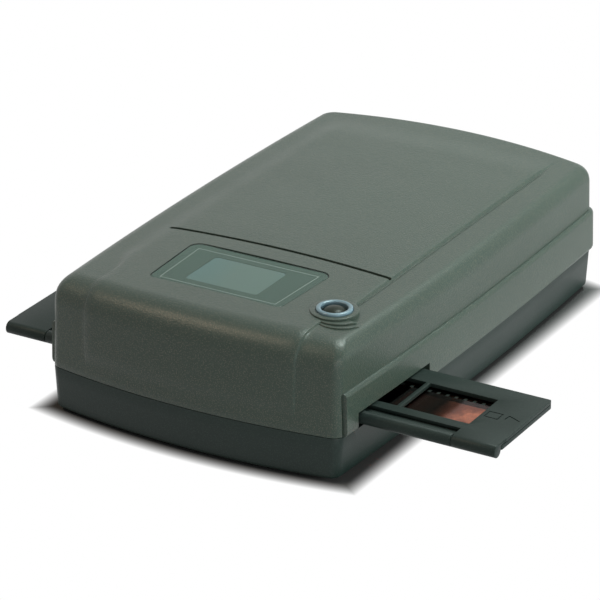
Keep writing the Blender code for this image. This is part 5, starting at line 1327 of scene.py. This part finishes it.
    def build(self, button: Button, display: Display) -> None:
        """Makes the cover.

        Args:
            button: Button whose boss stands on the cover.
            display: Display that is set into the cover.
        """
        low = PLAN.parting + self.seam_half
        shell = HousingForm(self.levels(0.0, low), rise=Plateau().rise).shape()
        shell = combine(shell, self.belt(), Join.ADD)
        shell = combine(shell, button.boss(), Join.ADD)
        cavity = HousingForm(self.levels(PLAN.wall, low - OVERRUN), middle_columns=8, ramp_columns=1,
                             outer_columns=3, rows=20).shape()
        shell = combine(shell, cavity, Join.CUT)
        posts = bmesh.new()
        for x, y in self.screws:
            high = PLAN.top + PLAN.crown_at(x) - PLAN.lid_wall / 2
            rod(self.boss_radius, high - self.boss_seam, (x, y, (high + self.boss_seam) / 2),
                sides=32, shape=posts)
        shell = combine(shell, posts, Join.ADD)
        cutters = bmesh.new()
        for x, y in self.screws:
            rod(self.bore, self.bore_length, (x, y, self.boss_seam), sides=24, shape=cutters)
        self.slots(cutters)
        self.groove_bar(cutters)
        button.openings(cutters)
        display.openings(cutters)
        self.belt_gaps(cutters)
        shell = combine(shell, cutters, Join.CUT)
        hole = rod(button.hole, 10 * OVERRUN, (button.x, button.y, button.boss_top), sides=96)
        shell = combine(shell, hole, Join.CUT)
        placed("upper_case_cover", shell, Finishes.COVER, "case", ("upper_case",))


@dataclass
class LowerCase:
    """Pan under the parting line: its lip, posts, screw wells, vents, openings and foot pockets."""

    feet: tuple[Spot, ...] = tuple((x, y) for x in (-0.060, 0.060) for y in (-0.106, 0.106))
    foot_radius: float = 0.0070
    foot_seat: float = 0.0008
    foot_edge: float = 0.0007
    foot_dish: float = 0.0004
    foot_tread: Spot = (0.62, 0.70)
    posts: tuple[Spot, ...] = tuple((x, y) for x in (-0.054, 0.054) for y in (0.076, 0.122))
    post_radius: float = 0.0030
    post_top: float = 0.0057
    well_radius: float = 0.0032
    shelf: float = 0.0140
    vents: int = 5
    vent_last: float = 0.1100
    vent_pitch: float = 0.0060
    vent: Spot = (0.0500, 0.0022)
    levels_at: Spot = (0.008, 0.015)
    socket_depth: float = 0.006

    def build(self, upper: UpperCase) -> None:
        """Makes the pan.

        Args:
            upper: Upper case that it closes.
        """
        seam = PLAN.parting - upper.seam_half
        edge = PLAN.base_edge
        levels = [PLAN.base_at(edge * (1 - math.cos(turn))).moved_in(edge * (1 - math.sin(turn)))
                  for turn in quarter(5)]
        levels += [PLAN.base_at(z) for z in (*self.levels_at, seam - HAIR)]
        levels += [PLAN.base_at(seam).moved_in(HAIR * 0.6)]
        plain = {"middle_columns": 14, "ramp_columns": 1, "outer_columns": 6}
        pan = HousingForm(levels, **plain).shape()
        rim = PLAN.wall + HAIR
        lip = [PLAN.wall_at(z).moved_in(rim, z) for z in (seam - PLAN.lip_rise, seam + PLAN.lip_rise)]
        pan = combine(pan, HousingForm(lip, **plain).shape(), Join.ADD)
        wall = rim + PLAN.lip
        hollow = [PLAN.base_at(PLAN.floor).moved_in(wall), PLAN.base_at(seam).moved_in(wall),
                  PLAN.wall_at(seam + PLAN.lip_rise + OVERRUN).moved_in(wall)]
        pan = combine(pan, HousingForm(hollow, **plain).shape(), Join.CUT)
        standing, foot = bmesh.new(), PLAN.floor / 2
        columns = [(spot, upper.boss_radius, upper.boss_seam - HAIR) for spot in upper.screws]
        columns += [(spot, self.post_radius, self.post_top) for spot in self.posts]
        for (x, y), radius, top in columns:
            rod(radius, top - foot, (x, y, (top + foot) / 2), sides=32, shape=standing)
        pan = combine(pan, standing, Join.ADD)
        cutters = bmesh.new()
        for x, y in upper.screws:
            rod(self.well_radius, 2 * self.shelf, (x, y, 0), sides=32, shape=cutters)
        for x, y in self.feet:
            rod(self.foot_radius + HAIR, 2 * self.foot_seat, (x, y, 0), sides=64, shape=cutters)
        half_x, half_y = self.vent[0] / 2, self.vent[1] / 2
        for index in range(self.vents):
            y = self.vent_last - self.vent_pitch * index
            block((-half_x, y - half_y, -OVERRUN), (half_x, y + half_y, PLAN.floor + OVERRUN), cutters)
        upper.slots(cutters)
        for socket in ("usb_socket", "power_socket"):
            low, high = node_box(socket)
            block((low.x - HAIR, high.y - self.socket_depth, low.z - HAIR),
                  (high.x + HAIR, high.y + 10 * OVERRUN, high.z + HAIR), cutters)
        pan = combine(pan, cutters, Join.CUT)
        bores = bmesh.new()
        for x, y in upper.screws:
            rod(upper.bore, 0.06, (x, y, 0.03), sides=24, shape=bores)
        pan = combine(pan, bores, Join.CUT)
        pan = combine(pan, PowerSwitch().opening(), Join.CUT)
        placed("lower_case_pan", pan, Finishes.BASE, "case", ("lower_case",))
        for name, (x, y) in zip(("front_left", "back_left", "front_right", "back_right"), self.feet):
            self.foot(name, x, y)

    def foot(self, corner: str, x: float, y: float) -> None:
        """Makes one rubber foot with a rounded tread and a shallow dish.

        Args:
            corner: Corner that it stands at.
            x: Place across the case.
            y: Place along the case.
        """
        low, high = node_box(f"foot_{corner}")
        radius, edge, dish = self.foot_radius, self.foot_edge, low.z + self.foot_dish
        bend = [(radius - edge + edge * math.sin(turn), low.z + edge - edge * math.cos(turn))
                for turn in quarter(5)]
        inner, outer = self.foot_tread
        foot = turned([(0.0, dish), (radius * inner, dish), (radius * outer, low.z), *bend,
                       (radius, high.z), (0.0, high.z)], (x, y, 0), 64)
        placed(f"foot_{corner}_rubber", foot, Finishes.RUBBER, "case", (f"foot_{corner}",))


@dataclass
class PowerSwitch:
    """Rocker switch in the bowed back wall: its opening and its rim; the rocker keeps its imported solid.
    """

    x: float = 0.0400
    z: float = 0.0120
    size: Spot = (0.0190, 0.0110)
    rim: float = 0.0014
    seat: float = HAIR * 4 / 3
    lip: float = 0.0007
    depth: float = 0.0085
    well: float = 0.0046
    reach: float = 0.0157

    @property
    def place(self) -> Matrix:
        """Frame of the switch: its middle on the wall, turned square to it."""
        turn = Matrix.Rotation(-math.asin(self.x / PLAN.end_arc(1)), 4, "Z")
        return Matrix.Translation((self.x, PLAN.back_face(self.x), self.z)) @ turn

    def opening(self) -> Shape:
        """Cutter for the switch's opening in the back wall."""
        half_x, half_z = self.size[0] / 2 + HAIR, self.size[1] / 2 + HAIR
        shape = block((-half_x, -self.reach, -half_z), (half_x, self.reach, half_z))
        bmesh.ops.transform(shape, matrix=self.place, verts=shape.verts[:])
        return shape

    def build(self) -> None:
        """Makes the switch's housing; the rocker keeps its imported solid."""
        width, height = self.size
        half_x, half_z = width / 2 + self.rim, height / 2 + self.rim
        body = block((-half_x, self.seat, -half_z), (half_x, self.seat + self.rim, half_z))
        bevelled(body, upright_edges(body, 1), self.rim, 5)
        box = block((-width / 2, -self.depth, -height / 2), (width / 2, self.seat + self.lip, height / 2))
        body = combine(body, box, Join.ADD)
        well = block((-width / 2 + self.rim, -self.well, -height / 2 + self.rim),
                     (width / 2 - self.rim, self.depth, height / 2 - self.rim))
        body = softened(combine(body, well, Join.CUT), 0.0002)
        bmesh.ops.transform(body, matrix=self.place, verts=body.verts[:])
        placed("switch_rim", body, Finishes.CHIP, "case", ("switch_housing",))


@dataclass
class FilmHolder:
    """Hinged film holder: tray with its rail, lid with a frame and an arrow, and the strip of film.

    Perforation is its pitch, its size along and across the film, and its distance from the edge.
    """

    middle: float = 0.0179
    length: float = 0.2694
    back: float = -0.0575
    top: float = 0.0296
    rail_y: float = -0.1120
    rail_radius: float = 0.0032
    lid_front: float = -0.1049
    lid: float = 0.0017
    tray: float = 0.0021
    knuckle: float = 0.0232
    picture_front: float = -0.0990
    opening: Spot = (0.0358, 0.0290)
    picture: float = 0.0240
    pitch: float = 0.0380
    frames: int = 6
    film_width: float = 0.0350
    perforation: tuple[float, float, float, float] = (0.00475, 0.00198, 0.0028, 0.0020)
    perforation_corner: float = 0.0005
    corner: float = 0.0012
    window_corner: float = 0.0004
    channel_slack: float = 0.0012
    channel_depth: float = 0.0008
    notch: Spot = (0.0014, 0.0004)
    soft_edge: float = 0.0002
    mark_middle: Spot = (0.1365, -0.0855)
    mark_half: Spot = (0.0034, 0.0029)
    mark_line: float = 0.00032
    mark_depth: float = 0.00035
    arrow: tuple[Spot, ...] = ((0.1430, -0.0865), (0.1434, -0.0827), (0.1495, -0.0854))

    @property
    def centres(self) -> list[float]:
        """Middle of each frame along the holder."""
        first = self.middle - self.pitch * (self.frames - 1) / 2
        return [first + self.pitch * index for index in range(self.frames)]

    @property
    def ends(self) -> Spot:
        """Left and right end of the holder."""
        return self.middle - self.length / 2, self.middle + self.length / 2

    def windows(self, depth: float, low: float, high: float) -> Shape:
        """Cutters for the six windows.

        Args:
            depth: Size of each across the film.
            low: Height of their lower ends.
            high: Height of their upper ends.

        Returns:
            The cutters.
        """
        shape = bmesh.new()
        for x in self.centres:
            part_low = (x - self.opening[0] / 2, self.picture_front, low)
            block(part_low, (x + self.opening[0] / 2, self.picture_front + depth, high), shape)
        return bevelled(shape, upright_edges(shape), self.window_corner, 2)

    def rolled_edge(self, start: float, end: float) -> Shape:
        """Part of the lid that rolls down over the rail's line at one end of the holder."""
        radius = self.rail_radius
        centre = self.top - radius
        turns = [math.pi / 2 + math.pi * 1.5 * step / 20 for step in range(21)]
        outline = [(self.rail_y + radius * math.cos(turn), centre + radius * math.sin(turn))
                   for turn in turns]
        back, low = self.lid_front + OVERRUN, self.top - self.lid
        outline += [(self.rail_y + radius, low), (back, low), (back, self.top)]
        return drawn(outline, start, end)

    def stroke(self, start: Spot, end: Spot) -> Shape:
        """Cutter for a straight line sunk in the lid.

        Args:
            start: One end.
            end: Other end.

        Returns:
            The cutter.
        """
        way, line = Vector(end) - Vector(start), self.mark_line
        bar = block((-way.length / 2 - line, -line, self.top - self.mark_depth),
                    (way.length / 2 + line, line, self.top + OVERRUN))
        bmesh.ops.rotate(bar, cent=(0, 0, 0), matrix=Matrix.Rotation(math.atan2(way.y, way.x), 3, "Z"),
                         verts=bar.verts[:])
        middle = (Vector(start) + Vector(end)) / 2
        bmesh.ops.translate(bar, vec=(middle.x, middle.y, 0), verts=bar.verts[:])
        return bar

    def marks(self) -> Shape:
        """Cutters for the marks in the lid's right end: a frame and an arrow."""
        low, high, line = self.top - self.mark_depth, self.top + OVERRUN, self.mark_line
        (x, y), (half_x, half_y) = self.mark_middle, self.mark_half
        bars, posts = bmesh.new(), bmesh.new()
        for side in (-1, 1):
            block((x - half_x - line, y + side * half_y - line, low),
                  (x + half_x + line, y + side * half_y + line, high), bars)
            block((x + side * half_x - line, y - half_y - line, low),
                  (x + side * half_x + line, y + half_y + line, high), posts)
        tail, bend, tip = self.arrow
        arrow = combine(self.stroke(tail, bend), self.stroke(bend, tip), Join.ADD)
        return combine(combine(bars, posts, Join.ADD), arrow, Join.ADD)

    def build(self) -> None:
        """Makes the tray, the lid and the film."""
        film_y = self.picture_front + self.picture / 2
        self.build_tray(film_y)
        self.build_lid()
        self.build_film(film_y)

    def build_tray(self, film_y: float) -> None:
        """Makes the tray with its rail, the film's channel, its windows and its notches.

        Args:
            film_y: Middle of the film across its length.
        """
        left, right = self.ends
        rail_left, rail_right = left + self.knuckle, right - self.knuckle
        high = self.top - self.lid - HAIR
        low = high - self.tray
        plate = block((left, self.rail_y + self.rail_radius + HAIR, low), (right, self.back, high))
        bevelled(plate, upright_edges(plate), self.corner, 4)
        web = block((rail_left, self.rail_y, low + self.tray / 4),
                    (rail_right, self.lid_front, high - self.tray / 4))
        tray = combine(plate, web, Join.ADD)
        rail = rod(self.rail_radius, rail_right - rail_left,
                   (self.middle, self.rail_y, self.top - self.rail_radius), "X", 48)
        tray = combine(tray, softened(rail, 0.0003), Join.ADD)
        half_film, half_width = self.pitch * self.frames / 2, self.film_width / 2
        channel = block((self.middle - half_film - self.channel_slack, film_y - half_width - HAIR,
                         high - self.channel_depth),
                        (self.middle + half_film + self.channel_slack, film_y + half_width + HAIR,
                         self.top))
        tray = combine(tray, channel, Join.CUT)
        tray = combine(tray, self.windows(self.picture, low - OVERRUN, self.top), Join.CUT)
        notches = bmesh.new()
        radius, out = self.notch
        for x in self.centres:
            rod(radius, 4 * self.tray, (x, self.back + out, low), sides=16, shape=notches)
        tray = softened(combine(tray, notches, Join.CUT), 0.00018)
        placed("holder_tray_moulding", tray, Finishes.HOLDER, "holder", ("holder_tray",))

    def build_lid(self) -> None:
        """Makes the lid with its two rolled ends, its windows and its marks."""
        left, right = self.ends
        lid = block((left, self.lid_front, self.top - self.lid), (right, self.back, self.top))
        bevelled(lid, upright_edges(lid), self.corner, 4)
        inner_left, inner_right = left + self.knuckle, right - self.knuckle
        for start, end in ((left + self.soft_edge, inner_left - HAIR),
                           (inner_right + HAIR, right - self.soft_edge)):
            lid = combine(lid, self.rolled_edge(start, end), Join.ADD)
        openings = self.windows(self.opening[1], self.top - 2 * self.lid, self.top + OVERRUN)
        lid = softened(combine(lid, openings, Join.CUT), self.soft_edge)
        lid = combine(lid, self.marks(), Join.CUT)
        placed("holder_lid_moulding", lid, Finishes.HOLDER, "holder", ("holder_lid",))

    def build_film(self, film_y: float) -> None:
        """Makes the strip of film with its two rows of perforations.

        Args:
            film_y: Middle of the film across its length.
        """
        low, high = node_box("film_strip")
        strip = block(tuple(low), tuple(high))
        holes = bmesh.new()
        pitch, along, across, inset = self.perforation
        count = int((high.x - low.x) / pitch)
        for index in range(count):
            x = low.x + pitch * (index + 0.5)
            for side in (-1, 1):
                y = film_y + side * (self.film_width / 2 - inset - across / 2)
                block((x - along / 2, y - across / 2, low.z - OVERRUN),
                      (x + along / 2, y + across / 2, high.z + OVERRUN), holes)
        bevelled(holes, upright_edges(holes), self.perforation_corner, 2)
        placed("film_strip_negative", combine(strip, holes, Join.CUT), Finishes.FILM, "holder",
               ("film_strip",))


class Works:
    """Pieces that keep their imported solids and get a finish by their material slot."""

    def build(self) -> None:
        """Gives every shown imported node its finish."""
        by_slot = {}
        for finish in Finishes:
            by_slot.setdefault(finish.slot, finish)
        by_slot["panel_grey"] = Finishes.MODULE
        for name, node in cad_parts.items():
            for slot in node.material_slots:
                label = slot.material.name.split(".")[0] if slot.material else ""
                slot.material = by_slot.get(label, Finishes.CHIP).material
            LOG.info("%s: finish %s", name, node.material_slots[0].material.name)


@dataclass(frozen=True)
class Softbox:
    """Rectangular light: its place, what it faces, its size, watts, colour and spread in degrees.

    One that isn't mirrored can't be seen in glossy surfaces.
    """

    name: str
    place: Place
    target: Place
    size: Spot
    power: float
    colour: Colour
    spread: float = 180
    mirrored: bool = True

    def stand(self) -> None:
        """Puts the light in the scene."""
        data = bpy.data.lights.new(self.name, "AREA")
        data.spread = math.radians(self.spread)
        data.shape = "RECTANGLE"
        data.size, data.size_y = self.size
        data.energy = self.power
        data.color = self.colour
        light = bpy.data.objects.new(self.name, data)
        light.location = self.place
        light.visible_glossy = self.mirrored
        light.rotation_mode = "QUATERNION"
        light.rotation_quaternion = (Vector(self.target) - Vector(self.place)).to_track_quat("-Z", "Y")
        bpy.context.scene.collection.objects.link(light)


@dataclass
class Studio:
    """Pale floor with a painted shadow round the case, soft lights and the camera.

    The lights are the key from behind, two cool ones on the right and a small warm one over the front.
    """

    place: Place = (0.78076, -1.39456, 0.75016)
    azimuth: float = 30.375
    elevation: float = 24.298
    lens_share: float = 3523.725 / 600
    sensor: float = 36.0
    ambient: float = 0.16
    floor_tone: float = 0.62
    # Tone of the painted shadow that the camera sees near the case, the distances over which it fades
    # out, and how far inside the walls it is measured from.
    painted_shadow_tone: float = 0.07
    shadow_fades: Spot = (0.0, 0.0105)
    inset: float = 0.0030
    floor_half: float = 6.0
    lights: tuple[Softbox, ...] = (
        Softbox("key_light", (0.14, 0.38, 0.95), (0.03, 0.10, 0.05), (0.40, 0.40), 1.75,
                (0.86, 1.0, 0.94), spread=60),
        Softbox("right_light", (1.25, 0.30, 0.27), (0, 0, 0.04), (1.3, 0.5), 20,
                (0.94, 1.0, 0.98), mirrored=False),
        Softbox("corner_light", (0.98, -0.82, 0.40), (0, -0.1, 0.04), (1.0, 0.7), 5.0,
                (0.96, 1.0, 0.97)),
        Softbox("front_light", (-0.62, -0.64, 1.10), (0, -0.1, 0.05), (0.40, 0.18), 5.0,
                (1.0, 0.78, 0.56)))

    def camera(self) -> None:
        """Sets the camera at the photograph's angle."""
        side, rise = math.radians(self.azimuth), math.radians(self.elevation)
        level = math.cos(rise)
        back = Vector((math.sin(side) * level, -math.cos(side) * level, math.sin(rise)))
        data = bpy.data.cameras.new("camera")
        data.sensor_width = self.sensor
        data.lens = self.lens_share * self.sensor
        data.clip_start, data.clip_end = 0.1, 50.0
        camera = bpy.data.objects.new("camera", data)
        camera.location = self.place
        camera.rotation_mode = "QUATERNION"
        camera.rotation_quaternion = (-back).to_track_quat("-Z", "Y")
        bpy.context.scene.collection.objects.link(camera)
        bpy.context.scene.camera = camera

    def seen_rays(self, tree: bpy.types.NodeTree, path: bpy.types.Node) -> Socket:
        """Share that is 1 for what the camera sees, straight or by gloss or through clear pieces.

        Args:
            tree: Node tree to wire in.
            path: Light path node of that tree.

        Returns:
            The socket with the share.
        """
        seen = path.outputs["Is Camera Ray"]
        for ray in ("Is Glossy Ray", "Is Transmission Ray"):
            either = tree.nodes.new("ShaderNodeMath")
            either.operation = "MAXIMUM"
            tree.links.new(seen, either.inputs[0])
            tree.links.new(path.outputs[ray], either.inputs[1])
            seen = either.outputs[0]
        return seen

    def mixed(self, recipe: Recipe, share: Socket, first: Socket, second: Socket) -> Socket:
        """Mixes two shaders.

        Args:
            recipe: Material to wire in.
            share: Share of the second shader.
            first: Shader where the share is 0.
            second: Shader where the share is 1.

        Returns:
            The socket with the mixed shader.
        """
        mix = recipe.nodes.new("ShaderNodeMixShader")
        recipe.links.new(share, mix.inputs["Fac"])
        recipe.links.new(first, mix.inputs[1])
        recipe.links.new(second, mix.inputs[2])
        return mix.outputs["Shader"]

    def world(self) -> None:
        """White surroundings for the camera, gloss and clear pieces; plain ambient light otherwise."""
        world = bpy.data.worlds.new("studio")
        world.use_nodes = True
        nodes, links = world.node_tree.nodes, world.node_tree.links
        ground = nodes["Background"]
        ground.inputs["Color"].default_value = (1, 1, 1, 1)
        seen = self.seen_rays(world.node_tree, nodes.new("ShaderNodeLightPath"))
        strength = nodes.new("ShaderNodeMapRange")
        strength.inputs["To Min"].default_value = self.ambient
        strength.inputs["To Max"].default_value = 1.0
        links.new(seen, strength.inputs["Value"])
        links.new(strength.outputs["Result"], ground.inputs["Strength"])
        bpy.context.scene.world = world

    def clearance(self, recipe: Recipe) -> Socket:
        """Distance of each place on the floor from the case's outline.

        Args:
            recipe: Material of the floor.

        Returns:
            The socket with the distance.
        """
        def away(from_spot: Socket, x: float, y: float, radius: float) -> Socket:
            """Distance outside a round of the given middle and radius."""
            made = recipe.nodes.new("ShaderNodeVectorMath")
            made.operation = "DISTANCE"
            recipe.links.new(from_spot, made.inputs[0])
            made.inputs[1].default_value = (x, y, 0)
            return recipe.work_out("SUBTRACT", made.outputs["Value"], radius)

        moved = recipe.nodes.new("ShaderNodeVectorMath")
        moved.operation = "SUBTRACT"
        recipe.links.new(recipe.coords, moved.inputs[0])
        moved.inputs[1].default_value = (case_origin().x, case_origin().y, 0)
        folded = recipe.nodes.new("ShaderNodeVectorMath")
        folded.operation = "ABSOLUTE"
        recipe.links.new(moved.outputs["Vector"], folded.inputs[0])
        spot, front, back = moved.outputs["Vector"], PLAN.end_arc(-1), PLAN.end_arc(1)
        ends = recipe.work_out("MAXIMUM",
                               away(spot, 0, front - PLAN.front_reach, front - self.inset),
                               away(spot, 0, PLAN.back_reach - back, back - self.inset))
        flat = recipe.nodes.new("ShaderNodeSeparateXYZ")
        recipe.links.new(folded.outputs["Vector"], flat.inputs["Vector"])
        sides = recipe.work_out("SUBTRACT", flat.outputs["X"], PLAN.half_width - self.inset)
        return recipe.work_out("MAXIMUM", ends, sides)

    def floor(self) -> None:
        """Pale floor that is white to the camera away from the scanner and keeps its shadow; near the
        case the camera sees it nearly black, a painted shadow that fades out with distance from the
        outline.
        """
        shape = bmesh.new()
        bmesh.ops.create_grid(shape, x_segments=8, y_segments=8, size=self.floor_half)
        floor = as_object("floor", shape)
        recipe = Recipe("pale_floor")
        mottle = recipe.spread(recipe.noise(3, 2.0), (0.3, 0.7))
        plain = (self.floor_tone,) * 3
        recipe.feed("Base Color", recipe.blend(mottle, plain, tinted(plain, 0.98)))
        recipe.settle({"Roughness": 0.9, "Specular IOR Level": 0.0})
        nodes, links = recipe.nodes, recipe.links
        path = nodes.new("ShaderNodeLightPath")
        # Painted shadow: the camera sees the floor near the case as a nearly black diffuse surface,
        # fading to white with distance.
        painted_shadow_bsdf = nodes.new("ShaderNodeBsdfDiffuse")
        painted_shadow_bsdf.inputs["Color"].default_value = (*(self.painted_shadow_tone,) * 3, 1)
        glow = nodes.new("ShaderNodeEmission")
        far = recipe.spread(self.clearance(recipe), self.shadow_fades)
        far = recipe.work_out("MULTIPLY", far, far)
        seen = self.mixed(recipe, far, painted_shadow_bsdf.outputs["BSDF"], glow.outputs["Emission"])
        either = self.seen_rays(recipe.material.node_tree, path)
        mix = self.mixed(recipe, either, recipe.shader.outputs["BSDF"], seen)
        links.new(mix, nodes["Material Output"].inputs["Surface"])
        floor.data.materials.append(recipe.material)

    def build(self) -> None:
        """Sets the whole studio."""
        self.camera()
        for light in self.lights:
            light.stand()
        self.world()
        self.floor()
        bpy.context.scene.view_settings.view_transform = "Standard"


def main() -> None:
    """Builds the scanner's pieces in order, then the studio."""
    logging.basicConfig(level=logging.INFO, format="%(message)s")
    for thing in [thing for thing in bpy.data.objects if thing.type in {"LIGHT", "CAMERA"}]:
        bpy.data.objects.remove(thing)
    button, display, upper = Button(), Display(), UpperCase()
    upper.build(button, display)
    LowerCase().build(upper)
    button.build()
    display.build()
    FilmHolder().build()
    PowerSwitch().build()
    Works().build()
    Studio().build()


if __name__ == "__main__":
    main()
